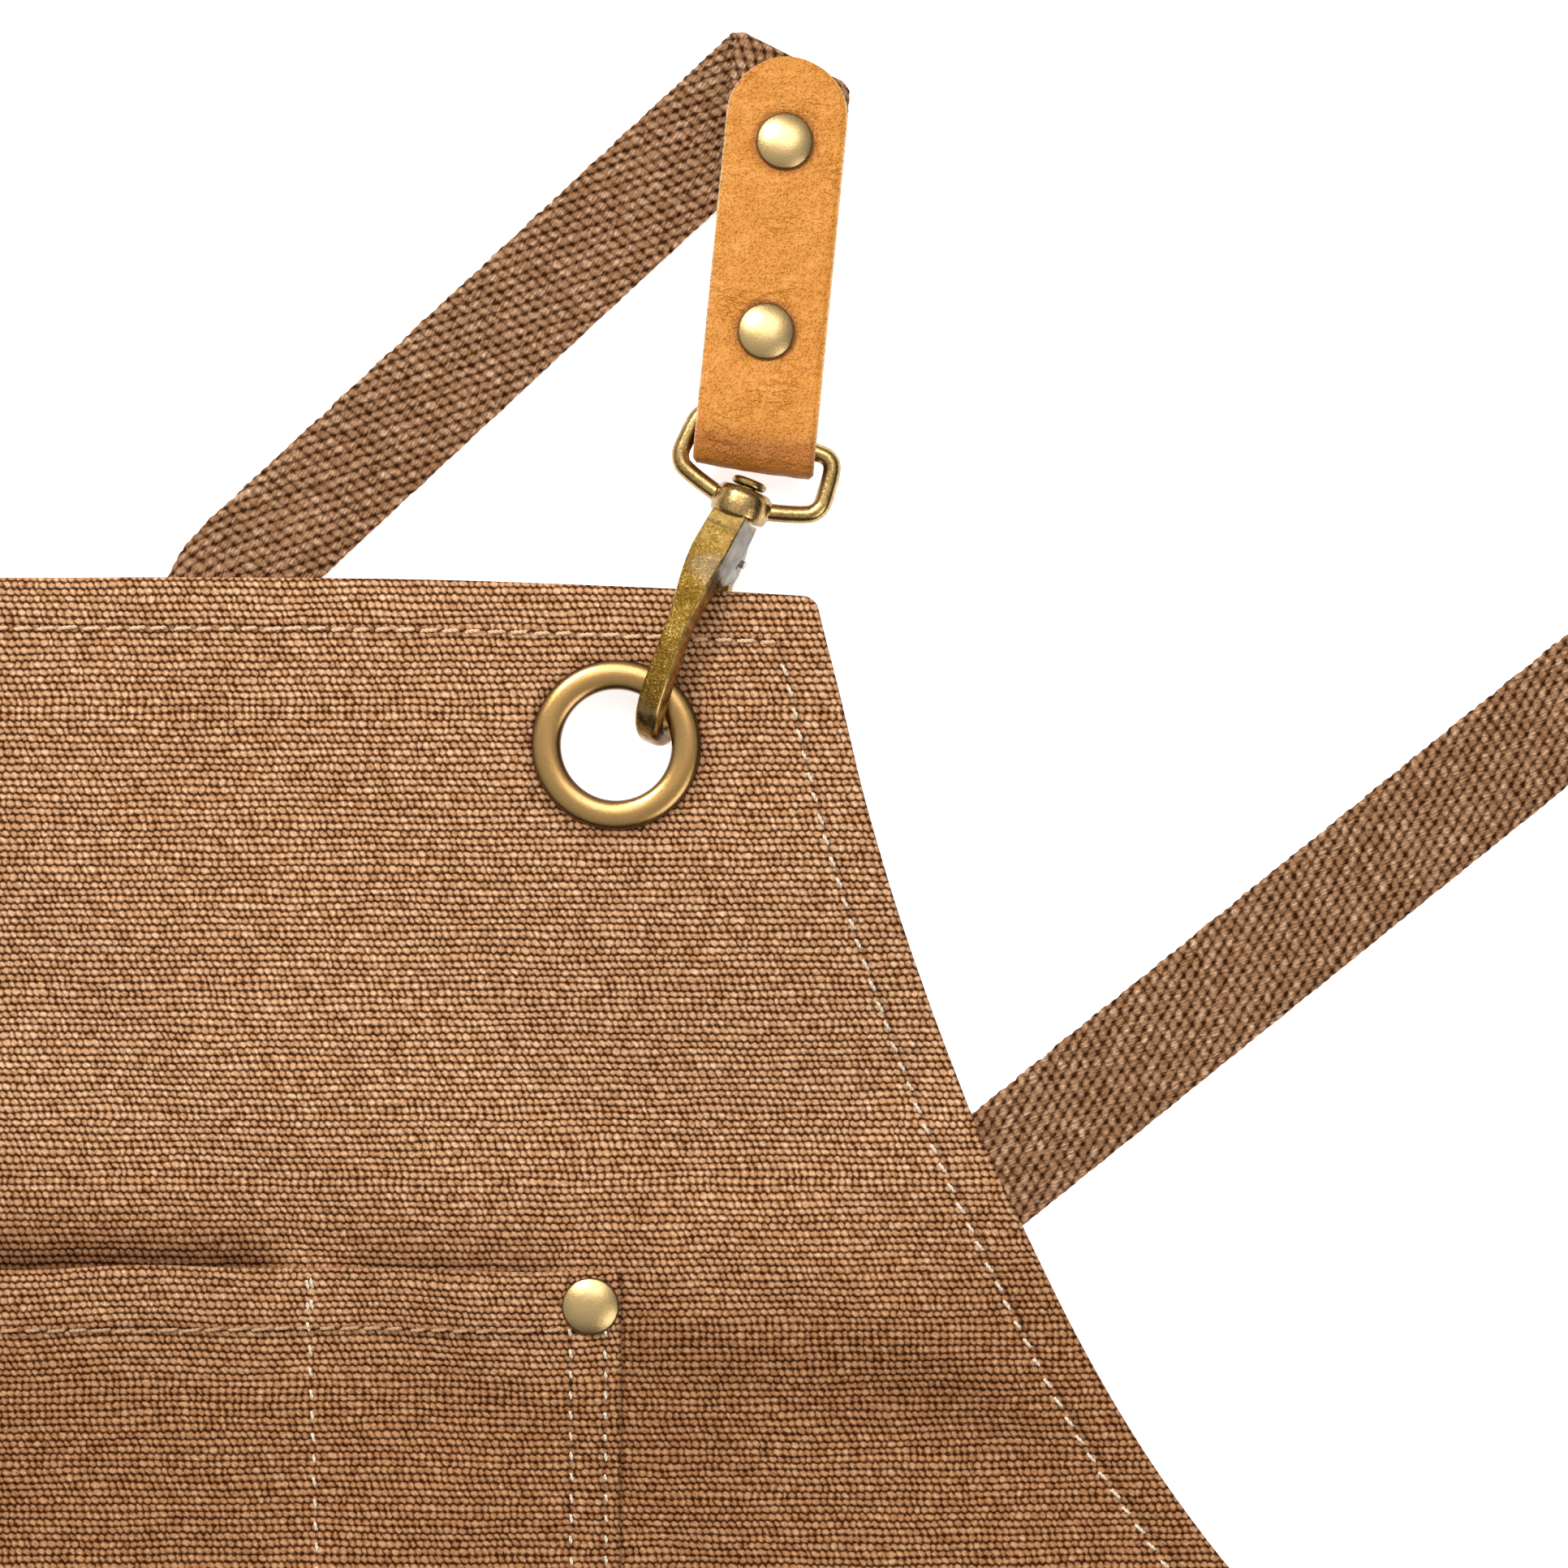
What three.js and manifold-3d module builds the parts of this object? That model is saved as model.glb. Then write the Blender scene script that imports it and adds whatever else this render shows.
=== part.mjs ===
// Canvas work apron with clip-on cross-back straps, laid flat with its front face up.
// Millimetres, +X to the wearer's left, +Y towards the neck, +Z up out of the front face.
// The design frame has x = 0 on the apron's centre line, y = 0 at the bib's top corners and z = 0 on
// the surface the apron lies on. The last lines move the origin to the bottom centre of its box.
import * as THREE from 'three';
import { mergeVertices } from 'three/addons/utils/BufferGeometryUtils.js';
import Module from 'manifold-3d';

const wasm = await Module();
wasm.setup();

// ---- driving dimensions ----
const CLOTH = 1.3;              // heavy canvas, one layer
const HEM_W = 10;               // width of the folded hems
const TOP_RISE = 4.3;           // the bib's top edge is this much higher at the centre line
const BIB_Z = 4.5;              // underside of the bib, held up by the straps beneath it
const EYELET_Z = 9.6;           // underside of the bib round the top eyelets, held up by the hooks
const WAIST_Z = 6.8;            // underside of the corners round the waist eyelets, over two straps
const BOTTOM_Y = -800;          // lower edge of the skirt
const TOP_EYELET = [99.3, -30.5];
const WAIST_EYELET = [316, -308];
const EYELET_R = 17.5, EYELET_HOLE_R = 11.35;
const WEB_W = 24.4, WEB_T = 1.8;      // cotton webbing
const WEB_LOW = 1.0, WEB_HIGH = 3.2;  // height of its middle on the surface, and over another layer
const TAB_ORIGIN = [127.97, 33.17, 10.0];
const TAB_LEAN = 5.55, TAB_SLOPE = 3.35, TAB_HALF_W = 12.1, TAB_LEN = 78.2, LEATHER = 2.0;
const HOOK_ORIGIN = [124.7, 18.2, 10.0];
const HOOK_LEAN = 20.8, HOOK_ROLL = 20;
const RIVET_R = 5.9;
const rad = THREE.MathUtils.degToRad;

// ---- materials ----
const mat = (color, roughness, metalness) => new THREE.MeshStandardMaterial({ color, roughness, metalness });
const canvasMat = mat(0x9a6b45, 0.95, 0);
const webMat = mat(0xb98a5e, 0.95, 0);
const leatherMat = mat(0xb8713f, 0.6, 0);
const brassMat = mat(0xa08a55, 0.35, 1);
const hookMat = mat(0x8d8066, 0.35, 1);
const steelMat = mat(0x9a9a98, 0.35, 1);

// ---- geometry helpers ----
function geometry(v, t) {
  let volume = 0;
  for (const [a, b, c] of t) {
    const [x1, y1, z1] = v[a], [x2, y2, z2] = v[b], [x3, y3, z3] = v[c];
    volume += x1 * (y2 * z3 - y3 * z2) - y1 * (x2 * z3 - x3 * z2) + z1 * (x2 * y3 - x3 * y2);
  }
  const g = new THREE.BufferGeometry();
  g.setAttribute('position', new THREE.Float32BufferAttribute(v.flat(), 3));
  g.setIndex(t.flatMap(([a, b, c]) => (volume < 0 ? [a, c, b] : [a, b, c])));
  return g;
}
// closed slab between two surfaces given on the same rows and columns of points
function slab(upper, lower) {
  const rows = upper.length, cols = upper[0].length, n = rows * cols;
  const v = [...upper.flat(), ...lower.flat()], t = [];
  const quad = (a, b, c, d) => t.push([a, b, c], [a, c, d]);
  for (let i = 0; i + 1 < rows; i++) for (let j = 0; j + 1 < cols; j++) {
    const a = i * cols + j;
    quad(a, a + 1, a + cols + 1, a + cols);
    quad(n + a, n + a + cols, n + a + cols + 1, n + a + 1);
  }
  const rim = [];
  for (let j = 0; j + 1 < cols; j++) rim.push(j);
  for (let i = 0; i + 1 < rows; i++) rim.push(i * cols + cols - 1);
  for (let j = cols - 1; j > 0; j--) rim.push((rows - 1) * cols + j);
  for (let i = rows - 1; i > 0; i--) rim.push(i * cols);
  rim.forEach((a, k) => { const b = rim[(k + 1) % rim.length]; quad(b, a, n + a, n + b); });
  return geometry(v, t);
}
// solid swept along points: ring(i) gives that section's closed outline
function loft(rings, closed = false) {
  const m = rings[0].length, v = rings.flat(), t = [];
  const last = closed ? rings.length : rings.length - 1;
  for (let i = 0; i < last; i++) for (let j = 0; j < m; j++) {
    const a = i * m + j, b = i * m + (j + 1) % m, k = ((i + 1) % rings.length) * m;
    t.push([a, b, k + (j + 1) % m], [a, k + (j + 1) % m, k + j]);
  }
  if (!closed) for (const [base, flip] of [[0, true], [(rings.length - 1) * m, false]]) {
    for (let j = 1; j + 1 < m; j++) t.push(flip ? [base, base + j + 1, base + j] : [base, base + j, base + j + 1]);
  }
  return geometry(v, t);
}
const V = (p) => new THREE.Vector3(...p);
// round rod along a smooth or straight-cornered line
function rod(points, radius, sides = 8) {
  const p = points.map(V), rings = [];
  let side = null;
  for (let i = 0; i < p.length; i++) {
    const t = new THREE.Vector3().subVectors(p[Math.min(i + 1, p.length - 1)], p[Math.max(i - 1, 0)]).normalize();
    side = side ?? new THREE.Vector3(0, 0, 1).cross(t).lengthSq() > 0.01 ? (side ?? new THREE.Vector3(0, 0, 1).cross(t)) : new THREE.Vector3(1, 0, 0);
    side = side.clone().addScaledVector(t, -side.dot(t)).normalize();
    const up = new THREE.Vector3().crossVectors(t, side);
    rings.push([...Array(sides).keys()].map((k) => {
      const a = (k + 0.5) / sides * 2 * Math.PI;
      return p[i].clone().addScaledVector(side, radius * Math.cos(a)).addScaledVector(up, radius * Math.sin(a)).toArray();
    }));
  }
  return loft(rings);
}
// ring or cap turned about Z from a closed outline of [radius, height]
function turned(outline, segments, x = 0, y = 0, z = 0) {
  const g = new THREE.LatheGeometry(outline.map(([r, h]) => new THREE.Vector2(r, h)), segments);
  g.rotateX(Math.PI / 2);
  g.translate(x, y, z);
  return outward(g);
}
function bare(g) {
  const c = g.clone();
  c.deleteAttribute('normal'); c.deleteAttribute('uv');
  return mergeVertices(c, 1e-4);
}
// the same closed shape with its faces pointing out and no slivers left at the axis
function outward(g) {
  const c = bare(g), p = c.attributes.position, ix = c.index.array, v = [], t = [];
  for (let i = 0; i < p.count; i++) v.push([p.getX(i), p.getY(i), p.getZ(i)]);
  for (let i = 0; i < ix.length; i += 3) if (ix[i] !== ix[i + 1] && ix[i + 1] !== ix[i + 2] && ix[i] !== ix[i + 2]) t.push([ix[i], ix[i + 1], ix[i + 2]]);
  return geometry(v, t);
}
function solid(g) {
  const c = bare(g);
  return new wasm.Manifold(new wasm.Mesh({
    numProp: 3, vertProperties: new Float32Array(c.attributes.position.array), triVerts: new Uint32Array(c.index.array),
  }));
}
function fromSolid(m) {
  const s = m.getMesh(), g = new THREE.BufferGeometry();
  g.setAttribute('position', new THREE.BufferAttribute(new Float32Array(s.vertProperties), 3));
  g.setIndex(new THREE.BufferAttribute(new Uint32Array(s.triVerts), 1));
  return g;
}
function flipX(g) {
  const c = bare(g), p = c.attributes.position, ix = c.index.array;
  for (let i = 0; i < p.count; i++) p.setX(i, -p.getX(i));
  for (let i = 0; i < ix.length; i += 3) { const k = ix[i + 1]; ix[i + 1] = ix[i + 2]; ix[i + 2] = k; }
  return c;
}
function prism(outline, z0, z1) {
  const g = new THREE.ExtrudeGeometry(new THREE.Shape(outline.map(([x, y]) => new THREE.Vector2(x, y))), { depth: z1 - z0, bevelEnabled: false });
  g.translate(0, 0, z0);
  return g;
}
const apron = new THREE.Group();
function add(parent, name, geo, material) {
  const m = new THREE.Mesh(geo, material);
  m.name = name;
  parent.add(m);
  return m;
}
const ease = (x) => { const c = Math.min(1, Math.max(0, x)); return c * c * (3 - 2 * c); };
const lerp = (a, b, k) => a + (b - a) * k;
function table(rows, x) {
  if (x >= rows[0][0]) return rows[0][1];
  for (let i = 1; i < rows.length; i++) if (x >= rows[i][0]) {
    const [x0, y0] = rows[i - 1], [x1, y1] = rows[i];
    return lerp(y0, y1, (x - x0) / (x1 - x0));
  }
  return rows[rows.length - 1][1];
}

// ---- the panel's outline: half width at each height ----
const HALF_WIDTH = [[0, 140.2], [-10, 142.6], [-20, 145.2], [-30, 147.5], [-40, 149.8], [-50, 152.7], [-60, 155.6], [-70, 158.9],
  [-80, 162.4], [-90, 166], [-100, 169.9], [-110, 173.6], [-120, 178.3], [-130, 183.1], [-140, 187.9], [-150, 192.8], [-160, 198.2],
  [-170, 204], [-180, 210.3], [-190, 217.4], [-200, 225], [-208, 232], [-216, 239.5], [-225, 249], [-235, 262], [-245, 276],
  [-256, 292], [-266, 308], [-275, 325], [-281, 338], [-287, 345], [-800, 345]];
const halfWidth = (y) => table(HALF_WIDTH, y);
function panelZ(x, y) {              // underside of the cloth
  const bib = ease((y + 372) / 52);
  let z = BIB_Z * bib;
  const d = Math.hypot(Math.abs(x) - 112, (y + 8) * 0.9);
  z += (EYELET_Z - BIB_Z) * ease((92 - d) / 52);
  z += (WAIST_Z - BIB_Z) * ease((78 - Math.hypot(Math.abs(x) - 325, y - WAIST_EYELET[1])) / 38);
  return z;
}
function topEdge(x) { return TOP_RISE * (1 - Math.min(1, (x / 140) ** 2)); }
function canvasPanel() {
  const ys = [0, -10, -12, -20, -30, -41, -54, -70, -88, -108, -130, -155, -180, -205, -230, -256, -275, -287, -297, -310, -322, -335, -348, -360, -372,
    -420, -500, -580, -660, -740, -788, -790, -800];
  const inner = [0, 0.13, 0.26, 0.38, 0.5, 0.6, 0.7, 0.79, 0.88, 0.95];
  const upper = [], lower = [];
  for (const y0 of ys) {
    const w = halfWidth(y0), half = [...inner.map((k) => k * (w - 12)), w - 12, w - 10, w];
    const xs = [...half.slice(1).reverse().map((x) => -x), ...half];
    const fade = ease((y0 + 40) / 40);
    upper.push([]); lower.push([]);
    xs.forEach((x, j) => {
      const y = y0 + topEdge(x) * fade;
      const hem = y0 >= -10 || y0 <= -790 || j < 2 || j > xs.length - 3;
      const z = panelZ(x, y), t = hem ? 2 * CLOTH : CLOTH;
      upper.at(-1).push([x, y, z + t]);
      lower.at(-1).push([x, y, z + (hem ? 0 : 0)]);
    });
  }
  let body = solid(slab(upper, lower));
  for (const s of [-1, 1]) for (const [ex, ey] of [TOP_EYELET, WAIST_EYELET]) {
    const hole = new THREE.CylinderGeometry(14.5, 14.5, 40, 22);
    hole.rotateX(Math.PI / 2);
    hole.translate(s * ex, ey, 8);
    body = body.subtract(solid(hole));
  }
  return fromSolid(body);
}

// ---- pockets: a bellied sheet with its side and bottom edges down on the panel ----
function pocket(x0, x1, yTop, yBottom, depth, base) {
  const W = x1 - x0, H = yTop - yBottom;
  const fromSide = [0, 5, 12.8, 17, 26, 42], middle = [0.4, 0.5, 0.6].map((k) => k * W);
  const across = [...fromSide, ...middle, ...fromSide.slice().reverse().map((d) => W - d)];
  const down = [0, 7.5, 16, 22, 34, H * 0.4, H * 0.6, H - 40, H - 28, H - 17, H - 6, H];
  const cols = across.length, rows = down.length, upper = [], lower = [];
  const T = 1.5;
  for (let i = 0; i < rows; i++) {
    const y = yTop - down[i];
    upper.push([]); lower.push([]);
    for (let j = 0; j < cols; j++) {
const x = x0 + across[j], m = across[j] / W;
      const side = Math.min(m, 1 - m) * (x1 - x0), corner = Math.hypot(side - 6.4, yTop - 7.5 - y);
      const up = ease((side - 5) / 16) * ease((y - yBottom - 6) / 22) * ease((corner - 9) / 16);
      const z = base + 0.3 + depth * up;
      upper.at(-1).push([x, y, z + T]);
      lower.at(-1).push([x, y, z]);
    }
  }
  return slab(upper, lower);
}

// ---- eyelets: a rolled grommet with its barrel, and the washer behind ----
function eyelet(parent, name, s, [ex, ey], z) {
  const H = EYELET_HOLE_R, R = EYELET_R, top = z + CLOTH + 0.3;
  const grommet = [[H, top + 0.8], [H + 0.9, top + 1.45], [H + 2.4, top + 1.7], [R - 1.5, top + 1.3], [R - 0.2, top + 0.7], [R, top],
    [14.0, top], [14.0, z - 0.6], [13.1, z - 1.4], [12.0, z - 1.6], [H, z - 0.8], [H, top + 0.8]];
  add(parent, `${name}_grommet`, turned(grommet, 22, s * ex, ey, 0), brassMat);
  const washer = [[14.3, z - 0.3], [R - 0.6, z - 0.3], [R - 0.6, z - 0.9], [14.3, z - 1.2], [14.3, z - 0.3]];
  add(parent, `${name}_washer`, turned(washer, 20, s * ex, ey, 0), brassMat);
}

// ---- cap rivets ----
const capOutline = (r, h, z) => [[0, z], [r, z], [r, z + 0.5], [r * 0.86, z + h * 0.66], [r * 0.5, z + h * 0.93], [0, z + h]];
function rivet(parent, name, x, y, zFront, zBack, post) {
  add(parent, `${name}_cap`, turned(capOutline(RIVET_R, 1.7, zFront), 16, x, y, 0), brassMat);
  if (post) add(parent, `${name}_post`, turned([[0, zBack - 0.7], [4.6, zBack - 0.7], [4.6, zBack], [1.3, zBack], [1.3, zFront - 0.3], [0, zFront - 0.3]], 12, x, y, 0), brassMat);
}

// ---- webbing straps: strips given by their left and right edges at each station ----
function ribbon(stations) {
  const mid = stations.map(({ c, w }) => c);
  const rings = stations.map(({ c, w, n }) => {
    const C = V(c), W = V(w), N = V(n).normalize().multiplyScalar(WEB_T / 2);
    return [C.clone().sub(W).add(N), C.clone().add(W).add(N), C.clone().add(W).sub(N), C.clone().sub(W).sub(N)].map((q) => q.toArray());
  });
  return loft(rings);
}
const tabDir = new THREE.Vector3(Math.sin(rad(TAB_LEAN)) * Math.cos(rad(TAB_SLOPE)), Math.cos(rad(TAB_LEAN)) * Math.cos(rad(TAB_SLOPE)), -Math.sin(rad(TAB_SLOPE)));
const tabAcross = new THREE.Vector3(Math.cos(rad(TAB_LEAN)), -Math.sin(rad(TAB_LEAN)), 0);
const tabNormal = new THREE.Vector3().crossVectors(tabAcross, tabDir);
const onTab = (v, u, n) => V(TAB_ORIGIN).addScaledVector(tabAcross, v).addScaledVector(tabDir, u).addScaledVector(tabNormal, n);
const FOLD_U = 78.2, FOLD_R = 2.2;        // where the webbing folds over at the tab's end
const FOLD_ANGLE = { false: -21.2, true: -14.95 };       // and its slant: the left-hand strap leaves more steeply

// stations of one strap from its fold to its free end; over = it lies over the other strap at their crossings
function strapStations(over) {
  const out = [], half = WEB_W / 2, slant = FOLD_ANGLE[over];
  const F = new THREE.Vector3().addScaledVector(tabAcross, Math.cos(rad(slant))).addScaledVector(tabDir, Math.sin(rad(slant)));
  const G = new THREE.Vector3().crossVectors(tabNormal, F);
  const psi = rad(90 + slant), ruling = half / Math.cos(rad(slant));
  const centre = onTab(0, FOLD_U - FOLD_R, -FOLD_R);
  // flat run inside the tab's end up to the fold
  const first = centre.clone().addScaledVector(tabNormal, FOLD_R).addScaledVector(tabDir, -3);
  out.push({ c: first.toArray(), w: F.clone().multiplyScalar(ruling).toArray(), n: tabNormal.toArray() });
  for (let k = 0; k <= 8; k++) {
    const a = Math.PI * k / 8, shift = -FOLD_R * a / Math.tan(psi);
    const radial = new THREE.Vector3().addScaledVector(G, Math.sin(a)).addScaledVector(tabNormal, Math.cos(a));
    const c = centre.clone().addScaledVector(radial, FOLD_R).addScaledVector(F, shift);
    out.push({ c: c.toArray(), w: F.clone().multiplyScalar(ruling).toArray(), n: radial.toArray() });
  }
  // leg behind the bib down to the far waist eyelet
  const foldEnd = out.at(-1).c, ex = -WAIST_EYELET[0], ey = WAIST_EYELET[1];
  // a Bezier: straight for the right-hand strap, gently bowed for the left-hand one
  const B1 = over ? [foldEnd[0] - 191.4, foldEnd[1] - 268.8] : [(foldEnd[0] + ex) / 2, (foldEnd[1] + ey) / 2];
  const legAt = (t) => [0, 1].map((i) => (1 - t) ** 2 * foldEnd[i] + 2 * t * (1 - t) * B1[i] + t * t * [ex, ey][i]);
  const marks = [0];
  for (let k = 1; k <= 400; k++) { const p = legAt((k - 1) / 400), q = legAt(k / 400); marks.push(marks[k - 1] + Math.hypot(q[0] - p[0], q[1] - p[1])); }
  const L = marks[400];
  const legT = (s) => { let k = 1; while (k < 400 && marks[k] < s) k++; return (k - 1 + (s - marks[k - 1]) / (marks[k] - marks[k - 1])) / 400; };
  const legDir = (t) => new THREE.Vector3(...[0, 1].map((i) => (1 - t) * (B1[i] - foldEnd[i]) + t * ([ex, ey][i] - B1[i])), 0).normalize();
  const dir = legDir(1);
  const acrossAt = (d) => new THREE.Vector3(-d.y, d.x, 0);         // from the strip's left edge to its right edge
  const acrossLeg = acrossAt(dir);
  const wEnd = V(out.at(-1).w); wEnd.z = 0; wEnd.normalize();
  const sign = Math.sign(wEnd.dot(acrossAt(legDir(0)))) || 1;
  const zLeg = (s) => (over ? lerp(WEB_LOW, WEB_HIGH, ease((s - 70) / 55)) : lerp(WEB_LOW, WEB_HIGH, ease((s - 290) / 55)));
  for (const s of [9, 20, 34, 60, 75, 90, 105, 125, 150, 185, 240, 290, 305, 320, 345, 400, 470, 540, L - 34]) {
    const t = legT(s), here = acrossAt(legDir(t)), [cx, cy] = legAt(t);
    const k = ease(s / 34), a = wEnd.clone().multiplyScalar(1 - k).addScaledVector(here, sign * k).normalize();
    const stretch = 1 / Math.abs(a.dot(here));
    out.push({ c: [cx, cy, zLeg(s)], w: a.multiplyScalar(half * stretch).toArray(), n: [0, 0, -1] });
  }
  const flat = (x, y, z, wx, wy, h, nx, nz) => {
    const w = new THREE.Vector3(wx, wy, 0).normalize().multiplyScalar(h * sign);
    out.push({ c: [x, y, z], w: w.toArray(), n: [nx, 0, nz] });
  };
  // up through the waist eyelet, out over its rim, round the side edge and back under the apron
  const A = [acrossLeg.x, acrossLeg.y];
  const [dx, dy] = [dir.x, dir.y];
  flat(ex - dx * 20, ey - dy * 20, WEB_HIGH, A[0], A[1], 10, 0, -1);
  flat(ex - dx * 9, ey - dy * 9, WEB_HIGH, A[0] * 0.6, A[1] - 0.2, 8.3, 0, -1);
  flat(ex - dx * 3.5, ey - dy * 3.5, 5.0, A[0] * 0.5, A[1] - 0.3, 7.8, 0.8, -0.6);
  flat(ex - 0.4, ey, 8.4, A[0] * 0.4, A[1] - 0.4, 7.8, 0.85, -0.5);
  flat(ex - 4.5, ey, 11.3, 0, -1, 8.2, 0.3, -0.95);
  flat(ex - 10, ey, 11.7, 0, -1, 9.5, 0, -1);
  flat(ex - 17, ey, 11.5, 0, -1, 11, -0.05, -1);
  flat(ex - 24, ey, 10.9, 0, -1, half, -0.05, -1);
  const ec = -346.6, er = 4.85, ez = WEB_LOW + er;
  for (let k = 0; k <= 6; k++) {
    const a = Math.PI * k / 6;
    flat(ec - er * Math.sin(a), ey, ez + er * Math.cos(a), 0, -1, half, Math.sin(a), -Math.cos(a));
  }
  // tail behind the skirt's top, curving up across the back of the bib and out past the armhole
  const along = (x, y, tx, ty, z) => { const w = new THREE.Vector3(ty, -tx, 0).normalize().multiplyScalar(half * sign); out.push({ c: [x, y, z], w: w.toArray(), n: [0, 0, 1] }); };
  for (const x of [-320, -280, -230, -170, -120, -100]) along(x, ey + (x + 346.6) / 261.6 * 14.8, 0.9984, 0.0565, WEB_LOW);
  const P0 = [-85, -293.2], P1 = [-35, -290.3], P2 = [3.9, -258.9];
  for (let k = 0; k <= 8; k++) {
    const t = k / 8, b0 = (1 - t) ** 2, b1 = 2 * t * (1 - t), b2 = t * t;
    const x = b0 * P0[0] + b1 * P1[0] + b2 * P2[0], y = b0 * P0[1] + b1 * P1[1] + b2 * P2[1];
    const tx = (1 - t) * (P1[0] - P0[0]) + t * (P2[0] - P1[0]), ty = (1 - t) * (P1[1] - P0[1]) + t * (P2[1] - P1[1]);
    along(x, y, tx, ty, over ? lerp(WEB_LOW, WEB_HIGH, ease((x + 62) / 24)) : WEB_LOW);
  }
  for (const x of [16, 30, 45, 60, 80, 100, 130, 160, 180, 210, 250, 290, 320, 345])
    along(x, -118.2 + (x - 178.3) * 0.8068, 0.7783, 0.6279, over ? lerp(WEB_HIGH, WEB_LOW, ease((x - 30) / 30)) : WEB_LOW);
  return out;
}
function strapEnd(over) {             // the webbing's end clamped inside the leather tab
  const slant = FOLD_ANGLE[over];
  const st = [];
  for (const u of [17, 40, FOLD_U - FOLD_R - 8.6]) st.push({ c: onTab(0, u, 0), w: tabAcross.clone().multiplyScalar(WEB_W / 2), n: tabNormal });
  const F = new THREE.Vector3().addScaledVector(tabAcross, Math.cos(rad(slant))).addScaledVector(tabDir, Math.sin(rad(slant)));
  st.push({ c: onTab(0, FOLD_U - FOLD_R - 3.3, 0), w: F.multiplyScalar(WEB_W / 2 / Math.cos(rad(slant))), n: tabNormal });
  // the station before the oblique end is kept clear of it on the short side
  st[2].c = onTab(0, FOLD_U - FOLD_R - 9.5, 0);
  return ribbon(st.map(({ c, w, n }) => ({ c: c.toArray(), w: w.toArray(), n: n.toArray() })));
}

// ---- leather tab, in its own frame: x across, y along away from the bar, z up ----
function leatherTab() {
  const inner = [[66, -1.2], [16, -1.2], [12, -1.5], [8, -2.3], [-3.6, -2.3], [-5.2, -1.5], [-5.7, 0], [-5.2, 1.5], [-3.6, 2.3], [8, 2.3], [12, 1.5], [16, 1.2], [TAB_LEN, 1.2]];
  const outer = [[TAB_LEN, 1.2 + LEATHER], [17, 1.2 + LEATHER], [9, 2.3 + LEATHER], [-3.6, 2.3 + LEATHER], [-6.4, 3], [-7.7, 0], [-6.4, -3], [-3.6, -2.3 - LEATHER], [9, -2.3 - LEATHER], [17, -1.2 - LEATHER], [66, -1.2 - LEATHER]];
  const side = prism([...inner, ...outer], -TAB_HALF_W - 2, TAB_HALF_W + 2);
  const m = new THREE.Matrix4().makeBasis(new THREE.Vector3(0, 1, 0), new THREE.Vector3(0, 0, 1), new THREE.Vector3(1, 0, 0));
  side.applyMatrix4(m);
  const plan = [[TAB_HALF_W - 0.4, -9], [TAB_HALF_W, -7]];
  for (let k = 0; k <= 12; k++) { const a = Math.PI * k / 12; plan.push([TAB_HALF_W * Math.cos(a), TAB_LEN - 10.8 + 10.8 * Math.sin(a)]); }
  plan.push([-TAB_HALF_W, -7], [-TAB_HALF_W + 0.4, -9]);
  let s = solid(side).intersect(solid(prism(plan, -12, 12)));
  for (const u of [21, 60.5]) {
    const h = new THREE.CylinderGeometry(1.7, 1.7, 30, 12); h.rotateX(Math.PI / 2); h.translate(0, u, 0);
    s = s.subtract(solid(h));
  }
  return fromSolid(s);
}

// ---- swivel snap hook, in its own frame: x from the collar towards the hook's bend, z towards the spine ----
const LOOP_HALF = 15.7, ROD = 1.8, BAR_X = -16;
function swivelLoop() {
  const corner = (x, y, r, a0, a1) => [0, 0.5, 1].map((k) => { const a = rad(lerp(a0, a1, k)); return [x + r * Math.cos(a), y + r * Math.sin(a), 0]; });
  const right = [[-0.4, 4.4, 0], [-1.2, 9, 0], [-2.6, 12.6, 0], [-4.2, 14.6, 0], [-6.4, LOOP_HALF, 0], ...corner(BAR_X + 2.6, LOOP_HALF - 2.6, 2.6, 90, 180)];
  const path = [...right, [BAR_X, 0, 0], ...right.slice().reverse().map(([x, y, z]) => [x, -y, z])];
  const collar = turned([[2.7, -4], [5.4, -4], [6, -3.4], [6, 3.4], [5.4, 4], [2.7, 4], [2.7, -4]], 20);
  collar.rotateY(Math.PI / 2);
  const body = solid(collar).add(solid(rod(path, ROD, 10)));
  const bore = new THREE.CylinderGeometry(2.7, 2.7, 8.6, 20); bore.rotateZ(Math.PI / 2);
  return fromSolid(body.subtract(solid(bore)));
}
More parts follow.
